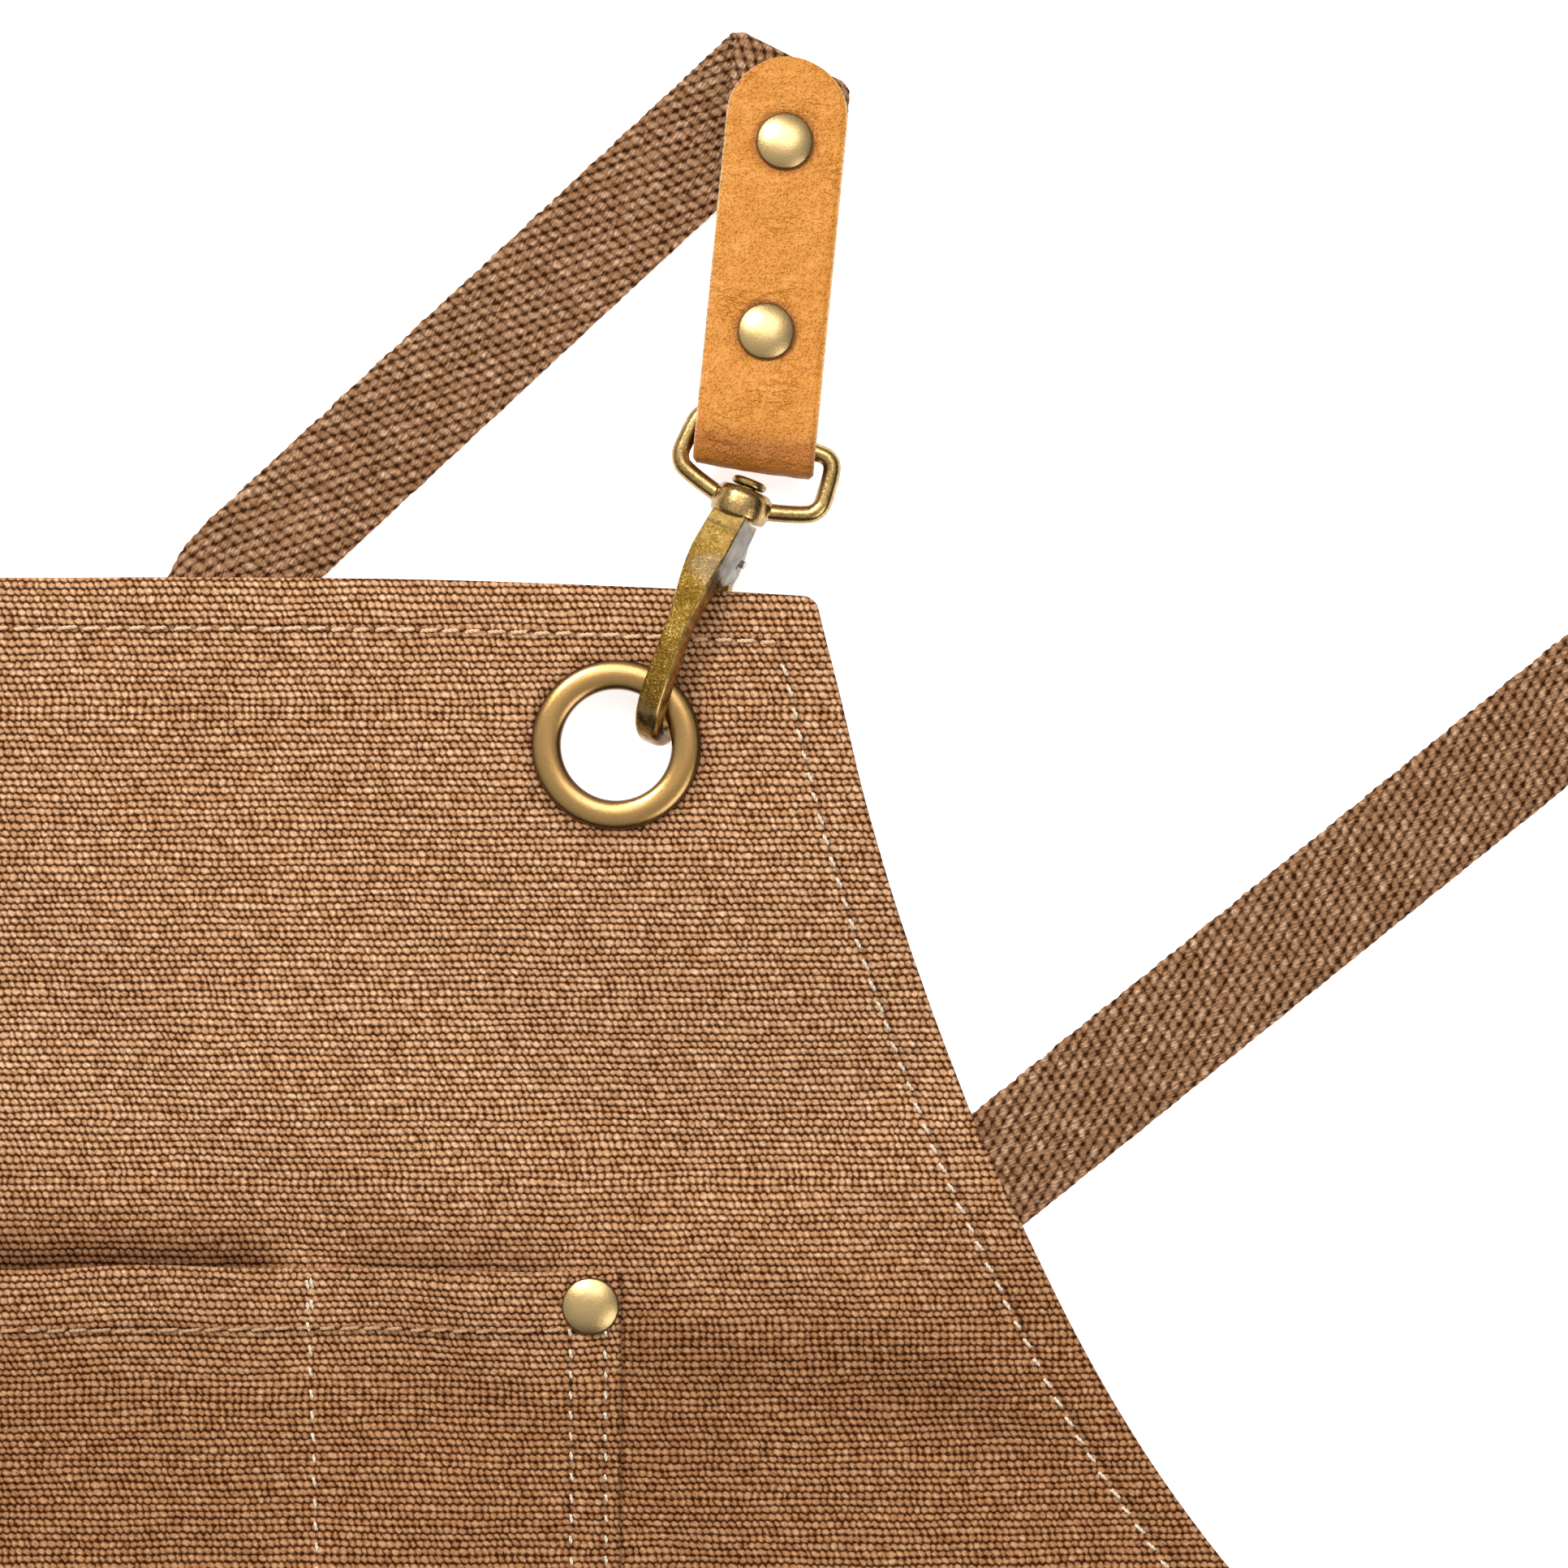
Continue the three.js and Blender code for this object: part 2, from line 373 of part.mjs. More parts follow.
// stations down the hook: [x, z, thickness in the hook's plane, width across]
const HOOK_LINE = [[4.5, 0.2, 7.6, 7.6], [8, 2.4, 8.8, 7.7], [12.5, 5.3, 6.6, 7.4], [18, 7.0, 5.2, 6.4], [25, 7.7, 4.8, 4.8], [33, 7.8, 4.7, 4.9], [40, 7.4, 4.6, 5.2], [45, 6.5, 4.4, 5.2],
  [48.7, 4.0, 4.2, 5], [50.0, 0.2, 4.0, 4.8], [49.2, -3.7, 4.0, 4.7], [45.6, -6.5, 4.2, 4.8], [40.8, -7.1, 4, 4.6], [36.4, -7.2, 3.6, 4.2]];
const GATE_PIVOT = [10.6, -4.4];
function hookBody() {
  const rings = HOOK_LINE.map(([x, z, t, w], i) => {
    const p = HOOK_LINE[Math.max(0, i - 1)], q = HOOK_LINE[Math.min(HOOK_LINE.length - 1, i + 1)];
    let tx = q[0] - p[0], tz = q[1] - p[1]; const l = Math.hypot(tx, tz); tx /= l; tz /= l;
    if (i === 0) { tx = 1; tz = 0; }
    return [...Array(12).keys()].map((k) => {
      const a = (k + 0.5) / 12 * 2 * Math.PI, c = Math.cos(a), s = Math.sin(a);
      const e = 0.6, cy = Math.sign(c) * Math.abs(c) ** e * w / 2, cn = Math.sign(s) * Math.abs(s) ** e * t / 2;
      return [x - tz * cn, cy, z + tx * cn];
    });
  });
  const cheek = prism([[4.5, -4], [8.5, -7.0], [13.2, -7.4], [14.9, -5.2], [14.9, 0.5], [12, 4], [4.5, 3.6]], -3.8, 3.8);
  cheek.rotateX(Math.PI / 2);
  const post = turned([[0, -6.6], [3.3, -6.6], [3.75, -6.1], [3.75, -4.9], [3.3, -4.4], [2.3, -4.4], [2.3, 6], [0, 6]], 16);
  post.rotateY(Math.PI / 2);
  let s = solid(loft(rings)).add(solid(cheek)).add(solid(post));
  const slot = prism([[6.9, -9], [6.9, -1.2], [16, -1.2], [16, -9]], -2.0, 2.0);
  slot.rotateX(Math.PI / 2);
  s = s.subtract(solid(slot));
  const hole = new THREE.CylinderGeometry(1.1, 1.1, 12, 12); hole.translate(GATE_PIVOT[0], 0, GATE_PIVOT[1]);
  return fromSolid(s.subtract(solid(hole)));
}
function gateLever() {
  const [px, pz] = GATE_PIVOT, outline = [];
  for (let k = 0; k <= 8; k++) { const a = rad(60 + 210 * k / 8); outline.push([px + 2.1 * Math.cos(a), pz + 2.1 * Math.sin(a)]); }
  outline.push([16, -8.0], [19, -8.9], [21, -8.9], [24, -8.3], [35.9, -8.3], [35.9, -6.0], [16, -5.4], [13.4, -3.6]);
  const g = prism(outline, -1.7, 1.7);
  g.rotateX(Math.PI / 2);
  const hole = new THREE.CylinderGeometry(1.15, 1.15, 8, 12); hole.translate(px, 0, pz);
  const notch = new THREE.BoxGeometry(5.4, 1.3, 6); notch.translate(px, 1.15, pz);
  return fromSolid(solid(g).subtract(solid(hole)).subtract(solid(notch)));
}
function gatePin() {
  const g = turned([[0, -3.75], [0.85, -3.75], [0.85, 3.75], [0, 3.75]], 12);
  g.rotateX(Math.PI / 2);
  g.translate(GATE_PIVOT[0], 0, GATE_PIVOT[1]);
  return g;
}
function gateSpring() {                // two turns of wire beside the lever, on the pin
  const pts = [], turns = 1.6;
  for (let k = 0; k <= 22; k++) { const a = 2 * Math.PI * turns * k / 22; pts.push([GATE_PIVOT[0] + 1.5 * Math.cos(a), 0.8 + 0.7 * k / 22, GATE_PIVOT[1] + 1.5 * Math.sin(a)]); }
  return rod(pts, 0.17, 6);
}
function placed(origin, xAxis, yAxis, zAxis) {
  const g = new THREE.Group();
  g.position.set(...origin);
  g.quaternion.setFromRotationMatrix(new THREE.Matrix4().makeBasis(xAxis, yAxis, zAxis));
  apron.add(g);
  return g;
}

// ---- assembly ----
add(apron, 'apron_panel', canvasPanel(), canvasMat);
const bibTop = BIB_Z + CLOTH;
add(apron, 'chest_pocket', pocket(-100.2, 100.2, -138.3, -268, 5.6, bibTop), canvasMat);
add(apron, 'waist_pocket', pocket(-200, 200, -405, -615, 5.6, CLOTH), canvasMat);
for (const [side, s] of [['R', 1], ['L', -1]]) {
  rivet(apron, `chest_pocket_rivet_${side}`, s * 93.9, -146, bibTop + 0.3 + 1.5 + 0.6, BIB_Z, false);
  rivet(apron, `waist_pocket_rivet_${side}`, s * 193.5, -412, CLOTH + 0.3 + 1.5 + 0.6, 0, false);
  eyelet(apron, `top_eyelet_${side}`, s, TOP_EYELET, panelZ(...TOP_EYELET));
  eyelet(apron, `waist_eyelet_${side}`, s, WAIST_EYELET, panelZ(...WAIST_EYELET));

  const U = tabDir.clone(), A = tabAcross.clone();
  if (s < 0) { U.x *= -1; A.y *= -1; }
  const tab = placed([s * TAB_ORIGIN[0], TAB_ORIGIN[1], TAB_ORIGIN[2]], A, U, new THREE.Vector3().crossVectors(A, U));
  add(tab, `leather_tab_${side}`, leatherTab(), leatherMat);
  rivet(tab, `tab_rivet_lower_${side}`, 0, 21, 3.5, -3.3, true);
  rivet(tab, `tab_rivet_upper_${side}`, 0, 60.5, 3.5, -3.3, true);
  const end = strapEnd(s < 0);
  let endSolid = solid(end);
  for (const u of [21, 60.5]) {
    const h = new THREE.CylinderGeometry(1.7, 1.7, 30, 12); h.rotateX(Math.PI / 2);
    h.applyMatrix4(new THREE.Matrix4().makeBasis(tabAcross, tabDir, tabNormal)); h.translate(...onTab(0, u, 0).toArray());
    endSolid = endSolid.subtract(solid(h));
  }
  const endGeo = fromSolid(endSolid);
  add(apron, `strap_end_${side}`, s > 0 ? endGeo : flipX(endGeo), webMat);
  const strap = ribbon(strapStations(s < 0));
  add(apron, `strap_${side}`, s > 0 ? strap : flipX(strap), webMat);

  const lean = rad(HOOK_LEAN), roll = rad(HOOK_ROLL);
  const a = new THREE.Vector3(-s * Math.sin(lean), -Math.cos(lean), 0), left = new THREE.Vector3(-s * Math.cos(lean), Math.sin(lean), 0);
  const up = new THREE.Vector3(0, 0, 1);
  const origin = [s * HOOK_ORIGIN[0], HOOK_ORIGIN[1], HOOK_ORIGIN[2]];
  const loop = placed(origin, a, new THREE.Vector3().crossVectors(up, a), up);
  add(loop, `swivel_loop_${side}`, swivelLoop(), hookMat);
  const z = up.clone().multiplyScalar(Math.cos(roll)).addScaledVector(left, Math.sin(roll));
  const hook = placed(origin, a, new THREE.Vector3().crossVectors(z, a), z);
  add(hook, `hook_body_${side}`, hookBody(), hookMat);
  add(hook, `gate_lever_${side}`, gateLever(), hookMat);
  add(hook, `gate_pin_${side}`, gatePin(), steelMat);
  add(hook, `gate_spring_${side}`, gateSpring(), steelMat);
}

// the origin goes to the bottom centre of the whole apron's box
apron.updateMatrixWorld(true);
const box = new THREE.Box3().setFromObject(apron, true);
apron.position.set(-(box.min.x + box.max.x) / 2, -(box.min.y + box.max.y) / 2, -box.min.z);
export default apron;
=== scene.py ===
import math
import bpy
import numpy as np
from mathutils import Matrix, Vector


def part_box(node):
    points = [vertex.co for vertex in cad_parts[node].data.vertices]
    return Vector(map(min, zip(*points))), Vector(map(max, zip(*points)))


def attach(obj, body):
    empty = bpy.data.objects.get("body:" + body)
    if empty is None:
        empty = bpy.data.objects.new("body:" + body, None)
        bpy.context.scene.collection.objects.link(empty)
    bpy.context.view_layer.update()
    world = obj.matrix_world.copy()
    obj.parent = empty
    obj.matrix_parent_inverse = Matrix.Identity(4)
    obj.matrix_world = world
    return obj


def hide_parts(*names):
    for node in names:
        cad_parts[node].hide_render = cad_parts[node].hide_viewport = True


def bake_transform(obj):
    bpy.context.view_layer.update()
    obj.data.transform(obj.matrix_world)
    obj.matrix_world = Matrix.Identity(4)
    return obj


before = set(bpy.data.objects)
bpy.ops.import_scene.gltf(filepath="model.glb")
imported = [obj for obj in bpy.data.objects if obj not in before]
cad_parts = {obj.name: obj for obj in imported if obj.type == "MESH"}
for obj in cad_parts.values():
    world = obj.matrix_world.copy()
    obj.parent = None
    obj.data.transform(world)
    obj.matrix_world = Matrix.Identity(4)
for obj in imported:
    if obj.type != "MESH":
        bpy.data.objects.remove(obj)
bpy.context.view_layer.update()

# ------------------------------------------------------------------ design frame
# mm, x = 0 on the centre line, y = 0 at the bib's top corners, z = 0 on the table.
_low, _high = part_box("apron_panel")
OX, OY, OZ = 0.0, _low[1] * 1000 + 800.0, _low[2] * 1000.0
OFF = np.array([OX, OY, OZ])


def rows(p):
    """Design millimetres to the row frame's metres."""
    return (np.asarray(p, float) + OFF) / 1000.0


CLOTH, BIB_Z, EYELET_Z, WAIST_Z = 1.3, 4.5, 9.6, 6.8
TOP_EYELET, WAIST_EYELET = (99.3, -30.5), (316.0, -308.0)
WEB_W, WEB_T = 24.8, 1.9
TAB_ORIGIN = np.array([127.97, 33.17, 10.0])
HOOK_ORIGIN = np.array([124.7, 18.2, 10.0])
HALF_WIDTH = np.array([[0, 140.2], [-10, 142.6], [-20, 145.2], [-30, 147.5], [-40, 149.8], [-50, 152.7], [-60, 155.6], [-70, 158.9], [-80, 162.4],
    [-90, 166], [-100, 169.9], [-110, 173.6], [-120, 178.3], [-130, 183.1], [-140, 187.9], [-150, 192.8], [-160, 198.2], [-170, 204], [-180, 210.3],
    [-190, 217.4], [-200, 225], [-208, 232], [-216, 239.5], [-225, 249], [-235, 262], [-245, 276], [-256, 292], [-266, 308], [-275, 325], [-281, 338],
    [-287, 345], [-800, 345]], float)


def ease(x):
    c = np.clip(x, 0, 1)
    return c * c * (3 - 2 * c)


_yy = np.linspace(0, -800, 1601)
_ww = np.interp(-_yy, -HALF_WIDTH[:, 0], HALF_WIDTH[:, 1])
_k = np.exp(-0.5 * (np.arange(-24, 25) / 9.0) ** 2); _k /= _k.sum()
_ws = np.convolve(np.pad(_ww, 24, mode="edge"), _k, mode="valid")
_ws = np.where(_yy > -14, _ww, _ws)


def half_width(y):
    return np.interp(-np.asarray(y, float), -_yy, _ws)


def top_edge(x):
    return 4.3 * (1 - np.minimum(1, (np.asarray(x) / 140.0) ** 2))


def bumps(x, y, seed, size, count=26):
    """Smooth noise made of plane waves of about one size, the same every run."""
    r = np.random.RandomState(seed)
    out = 0
    for _ in range(count):
        a, f, p = r.uniform(0, 2 * math.pi), 2 * math.pi / (size * r.uniform(0.7, 1.7)), r.uniform(0, 6.3)
        out = out + np.sin((x * math.cos(a) + y * math.sin(a)) * f + p)
    return out / math.sqrt(count)


# ------------------------------------------------------------------ strap routes
def unit(v):
    v = np.asarray(v, float)
    return v / np.linalg.norm(v)


LEAN, SLOPE = math.radians(5.55), math.radians(3.35)
TAB_U = np.array([math.sin(LEAN) * math.cos(SLOPE), math.cos(LEAN) * math.cos(SLOPE), -math.sin(SLOPE)])
TAB_A = np.array([math.cos(LEAN), -math.sin(LEAN), 0.0])
TAB_N = np.cross(TAB_A, TAB_U)


def on_tab(v, u, n):
    return TAB_ORIGIN + TAB_A * v + TAB_U * u + TAB_N * n


FOLD_U, FOLD_R = 78.2, 2.2


def strap_stations(over):
    """Stations (centre, half-width vector, normal) of one strap, from its end in the leather tab to its free end, for the right-hand tab."""
    out = []
    half = WEB_W / 2
    FOLD_ANGLE = math.radians(-14.95 if over else -21.2)
    F = TAB_A * math.cos(FOLD_ANGLE) + TAB_U * math.sin(FOLD_ANGLE)
    G = np.cross(TAB_N, F)
    for u in np.arange(17, FOLD_U - 14, 3.0):
        out.append((on_tab(0, u, 0), TAB_A * half, TAB_N))
    psi, ruling = math.pi / 2 + FOLD_ANGLE, half / math.cos(FOLD_ANGLE)
    centre = on_tab(0, FOLD_U - FOLD_R, -FOLD_R)
    u0 = FOLD_U - 14
    for k in (0.25, 0.5, 0.75, 1.0):
        e = ease(k)
        w = unit(TAB_A * (1 - e) + F * e)
        out.append((on_tab(0, u0 + (FOLD_U - FOLD_R - 1.5 - u0) * k, 0), w * half / abs(np.dot(w, TAB_A)), TAB_N))
    for k in range(13):
        a = math.pi * k / 12
        radial = G * math.sin(a) + TAB_N * math.cos(a)
        out.append((centre + radial * FOLD_R - F * (FOLD_R * a / math.tan(psi)), F * ruling, radial))
    fold_end = out[-1][0]
    ex, ey = -WAIST_EYELET[0], WAIST_EYELET[1]
    B0, B2 = fold_end[:2], np.array([ex, ey])
    B1 = B0 - np.array([191.4, 268.8]) if over else (B0 + B2) / 2
    tt = np.linspace(0, 1, 401)[:, None]
    leg = (1 - tt) ** 2 * B0 + 2 * tt * (1 - tt) * B1 + tt * tt * B2
    marks = np.concatenate([[0], np.cumsum(np.hypot(*np.diff(leg, axis=0).T))])
    L = marks[-1]

    def leg_dir(t):
        v = (1 - t) * (B1 - B0) + t * (B2 - B1)
        return unit([v[0], v[1], 0.0])
    d = leg_dir(1.0)
    across = np.array([-d[1], d[0], 0.0])
    w_end = F.copy(); w_end[2] = 0; w_end = unit(w_end)
    d0 = leg_dir(0.0)
    sign = 1.0 if np.dot(w_end, [-d0[1], d0[0], 0]) > 0 else -1.0

    def z_leg(s):
        return 1.0 + 2.2 * float(ease((s - 70) / 55) if over else ease((s - 290) / 55))
    for s in list(np.arange(4, 40, 4)) + list(np.arange(40, L - 30, 7.0)) + [L - 30]:
        k = float(ease(s / 34))
        t = float(np.interp(s, marks, tt[:, 0]))
        dt = leg_dir(t); here = np.array([-dt[1], dt[0], 0.0])
        a = unit(w_end * (1 - k) + here * sign * k)
        c = np.array([np.interp(s, marks, leg[:, 0]), np.interp(s, marks, leg[:, 1]), z_leg(s)])
        # the webbing is drawn in and its upper selvedge curls where it goes behind the bib's top edge
        pinch = 0.0 if over else float(ease((s - 154) / 16) * ease((206 - s) / 24))
        shift = here * (1.9 * pinch)
        out.append((c + shift, a * half / abs(np.dot(a, here)) * (1 - 0.15 * pinch), np.array([0, 0, -1.0])))

    def flat(x, y, z, wx, wy, h, nx, nz):
        out.append((np.array([x, y, z]), unit([wx, wy, 0]) * h * sign, unit([nx, 0, nz])))
    dx, dy = d[0], d[1]
    A = across
    flat(ex - dx * 20, ey - dy * 20, 3.2, A[0], A[1], 10, 0, -1)
    flat(ex - dx * 9, ey - dy * 9, 3.2, A[0] * 0.6, A[1] - 0.2, 8.3, 0, -1)
    flat(ex - dx * 3.5, ey - dy * 3.5, 5.0, A[0] * 0.5, A[1] - 0.3, 7.8, 0.8, -0.6)
    flat(ex - 0.4, ey, 8.4, A[0] * 0.4, A[1] - 0.4, 7.8, 0.85, -0.5)
    flat(ex - 4.5, ey, 11.3, 0, -1, 8.2, 0.3, -0.95)
    flat(ex - 10, ey, 11.7, 0, -1, 9.5, 0, -1)
    flat(ex - 17, ey, 11.5, 0, -1, 11, -0.05, -1)
    flat(ex - 24, ey, 10.9, 0, -1, half, -0.05, -1)
    ec, er = -346.6, 4.85
    for k in range(11):
        a = math.pi * k / 10
        flat(ec - er * math.sin(a), ey, 1.0 + er + er * math.cos(a), 0, -1, half, math.sin(a), -math.cos(a))

    def along(x, y, tx, ty, z):
        out.append((np.array([x, y, z]), unit([ty, -tx, 0]) * half * sign, np.array([0, 0, 1.0])))
    for x in np.arange(-336, -90, 8.0):
        along(x, ey + (x + 346.6) / 261.6 * 14.8, 0.9984, 0.0565, 1.0)
    P0, P1, P2 = np.array([-85, -293.2]), np.array([-35, -290.3]), np.array([3.9, -258.9])
    for t in np.linspace(0, 1, 15):
        p = (1 - t) ** 2 * P0 + 2 * t * (1 - t) * P1 + t * t * P2
        q = (1 - t) * (P1 - P0) + t * (P2 - P1)
        along(p[0], p[1], q[0], q[1], 1.0 + (2.2 * float(ease((p[0] + 62) / 24)) if over else 0))
    for x in list(np.arange(12, 341, 7.0)) + [345]:
        along(x, -118.2 + (x - 178.3) * 0.8068, 0.7783, 0.6279, 1.0 + (2.2 * (1 - float(ease((x - 30) / 30))) if over else 0))
    return out


STRAPS = {"R": strap_stations(False), "L": strap_stations(True)}
_routes = []
for _s, _m in (("R", 1.0), ("L", -1.0)):
    _pts = np.array([c for c, w, n in STRAPS[_s]])
    _pts[:, 0] *= _m
    _start = next(i for i, p in enumerate(_pts) if abs(p[0]) < 60)
    _routes.append(_pts[_start:][(_pts[_start:, 1] < 12)])


def _near(x, y, pts):
    """Distance to a route and its height there."""
    best = np.full(x.shape, 1e9); z = np.zeros(x.shape)
    for a, b in zip(pts[:-1], pts[1:]):
        ab = b[:2] - a[:2]; l2 = float(ab @ ab)
        if l2 < 1e-6 or l2 > 40 ** 2:
            continue
        t = np.clip(((x - a[0]) * ab[0] + (y - a[1]) * ab[1]) / l2, 0, 1)
        d = np.hypot(x - a[0] - t * ab[0], y - a[1] - t * ab[1])
        m = d < best
        best = np.where(m, d, best); z = np.where(m, a[2] + t * (b[2] - a[2]), z)
    return best, z


# the drape's height is worked out once on a grid and looked up after that
GX, GY = np.arange(-352, 353, 4.0), np.arange(-806, 9, 4.0)
_X, _Y = np.meshgrid(GX, GY)
_H = np.full(_X.shape, 0.15)
_tops = []
for _pts in _routes:
    for half_route in (_pts[:len(_pts) // 2], _pts[len(_pts) // 2 - 1:]):
        d, z = _near(_X, _Y, half_route)
        z = np.minimum(z, 3.2)
        # firm over the webbing, falling away beside it as heavy cloth does
        _tops.append((z + WEB_T / 2 + 0.3) * (1 - ease((d - 13.5) / 24.0)))
_H = np.maximum(_H, np.maximum.reduce(_tops))
_H += 0.35 * ease((_Y + 330) / 60) * (0.6 + 0.4 * bumps(_X, _Y, 3, 70))
_d = np.hypot(np.abs(_X) - 112, (_Y + 8) * 0.9)
_e = ease((98 - _d) / 60)
_H = np.maximum(_H, BIB_Z * ease((120 - _d) / 70)) * (1 - _e) + EYELET_Z * _e
_w = ease((78 - np.hypot(np.abs(_X) - 325, _Y + 308)) / 38)
_H = np.maximum(_H, 0) * (1 - _w) + WAIST_Z * _w
# a soft fold that runs out to the right armhole, and creases where the bib meets the skirt
for _fx0, _fy0, _fx1, _fy1, _fh, _fr in ((112.0, -124.0, 196.0, -172.0, 2.2, 9.0), (-150.0, -196.0, -70.0, -178.0, 1.2, 9.0), (60.0, -318.0, 190.0, -342.0, 1.4, 12.0), (-230.0, -352.0, -60.0, -330.0, 1.6, 13.0), (-30.0, -92.0, 46.0, -104.0, 0.5, 12.0)):
    _ux, _uy = _fx1 - _fx0, _fy1 - _fy0
    _l2 = _ux * _ux + _uy * _uy
    _t = ((_X - _fx0) * _ux + (_Y - _fy0) * _uy) / _l2
    _dd = ((_X - _fx0) * _uy - (_Y - _fy0) * _ux) / math.sqrt(_l2)
    _H += (1 - np.maximum(_e, _w)) * _fh * np.exp(-(_dd / _fr) ** 2) * ease((_t + 0.25) / 0.45) * ease((1.25 - _t) / 0.45)
# soft undulation of the skirt, and a slow one over the bib
_flat = 1 - np.maximum(_e, _w)
_H += _flat * 0.5 * np.maximum(0, bumps(_X, _Y, 11, 160)) * ease((-_Y - 330) / 60)
_H = np.maximum(_H, 0.05)


def drape(x, y):
    """Underside of the panel's single cloth."""
    x = np.asarray(x, float); y = np.asarray(y, float)
    fx = np.clip((x - GX[0]) / 4.0, 0, len(GX) - 1.001); fy = np.clip((y - GY[0]) / 4.0, 0, len(GY) - 1.001)
    i, j = fx.astype(int), fy.astype(int)
    a, b = fx - i, fy - j
    a, b = a * a * (3 - 2 * a), b * b * (3 - 2 * b)
    return (_H[j, i] * (1 - a) + _H[j, i + 1] * a) * (1 - b) + (_H[j + 1, i] * (1 - a) + _H[j + 1, i + 1] * a) * b


# ------------------------------------------------------------------ mesh helpers
def new_object(name, verts, faces, mat, uv=None, smooth=True, world=False):
    v = np.asarray(verts, float)
    v = v if world else rows(v)
    me = bpy.data.meshes.new(name)
    me.from_pydata(v.tolist(), [], [list(map(int, f)) for f in faces])
    me.update()
    if smooth:
        me.polygons.foreach_set("use_smooth", [True] * len(me.polygons))
    if uv is not None:
        lay = me.uv_layers.new(name="real")
        idx = np.zeros(len(me.loops), dtype=np.int32)
        me.loops.foreach_get("vertex_index", idx)
        lay.data.foreach_set("uv", np.asarray(uv, float)[idx].astype(np.float32).ravel())
    ob = bpy.data.objects.new(name, me)
    bpy.context.scene.collection.objects.link(ob)
    me.materials.append(mat)
    return ob


def set_attr(ob, name, values):
    a = ob.data.attributes.new(name, "FLOAT", "POINT")
    a.data.foreach_set("value", np.asarray(values, np.float32))


def vertex_normals(ob):
    n = np.zeros(len(ob.data.vertices) * 3)
    ob.data.vertices.foreach_get("normal", n)
    return n.reshape(-1, 3)


def outward(verts, faces):
    v = np.asarray(verts, float)
    vol = 0.0
    for f in faces:
        for k in range(1, len(f) - 1):
            vol += float(np.dot(v[f[0]], np.cross(v[f[k]], v[f[k + 1]])))
    return faces if vol > 0 else [f[::-1] for f in faces]


def grid_slab(top, bottom, hole=None):
    """Closed slab between two surfaces on the same grid; hole is a mask of grid cells to leave out."""
    R, C, _ = top.shape
    n = R * C
    v = np.concatenate([top.reshape(-1, 3), bottom.reshape(-1, 3)])
    keep = np.ones((R - 1, C - 1), bool) if hole is None else ~hole
    faces = []
    idx = np.arange(n).reshape(R, C)
    a, b, c, d = idx[:-1, :-1][keep], idx[:-1, 1:][keep], idx[1:, 1:][keep], idx[1:, :-1][keep]
    faces += np.stack([a, b, c, d], 1).tolist()
    faces += (np.stack([d, c, b, a], 1) + n).tolist()
    pad = np.zeros((R + 1, C + 1), bool); pad[1:-1, 1:-1] = keep
    for i in range(R - 1):
        for j in range(C - 1):
            if not keep[i, j]:
                continue
            if not pad[i, j + 1]:
                faces.append([idx[i, j + 1], idx[i, j], idx[i, j] + n, idx[i, j + 1] + n])
            if not pad[i + 2, j + 1]:
                faces.append([idx[i + 1, j], idx[i + 1, j + 1], idx[i + 1, j + 1] + n, idx[i + 1, j] + n])
            if not pad[i + 1, j]:
                faces.append([idx[i, j], idx[i + 1, j], idx[i + 1, j] + n, idx[i, j] + n])
            if not pad[i + 1, j + 2]:
                faces.append([idx[i + 1, j + 1], idx[i, j + 1], idx[i, j + 1] + n, idx[i + 1, j + 1] + n])
    return v, faces


def loft_rings(rings, cap=True):
    rings = np.asarray(rings, float)
    R, M, _ = rings.shape
    faces = []
    for i in range(R - 1):
        for j in range(M):
            k = (j + 1) % M
            faces.append([i * M + j, i * M + k, (i + 1) * M + k, (i + 1) * M + j])
    if cap:
        faces.append(list(range(M))[::-1])
        faces.append([(R - 1) * M + j for j in range(M)])
    v = rings.reshape(-1, 3)
    return v, outward(v, faces)


def smooth_line(points, per=8):
    """Catmull-Rom through rows of numbers."""
    p = np.asarray(points, float)
    q = np.vstack([2 * p[0] - p[1], p, 2 * p[-1] - p[-2]])
    out = []
    for i in range(1, len(q) - 2):
        for k in range(per):
            t = k / per
            out.append(0.5 * ((2 * q[i]) + (-q[i - 1] + q[i + 1]) * t + (2 * q[i - 1] - 5 * q[i] + 4 * q[i + 1] - q[i + 2]) * t * t + (-q[i - 1] + 3 * q[i] - 3 * q[i + 1] + q[i + 2]) * t ** 3))
    out.append(p[-1])
    return np.array(out)


def tube(points, radius, sides=16, cap=True, up=(0, 0, 1)):
    p = np.asarray(points, float)
    t = np.gradient(p, axis=0)
    t /= np.linalg.norm(t, axis=1)[:, None]
    side = np.cross(up, t[0])
    if np.linalg.norm(side) < 0.1:
        side = np.cross((1, 0, 0), t[0])
    radius = np.broadcast_to(radius, len(p))
    rings = []
    ang = np.arange(sides) / sides * 2 * math.pi
    for i in range(len(p)):
        side = side - t[i] * np.dot(side, t[i]); side /= np.linalg.norm(side)
        nrm = np.cross(t[i], side)
        rings.append(p[i] + radius[i] * (np.cos(ang)[:, None] * side + np.sin(ang)[:, None] * nrm))
    return loft_rings(rings, cap)


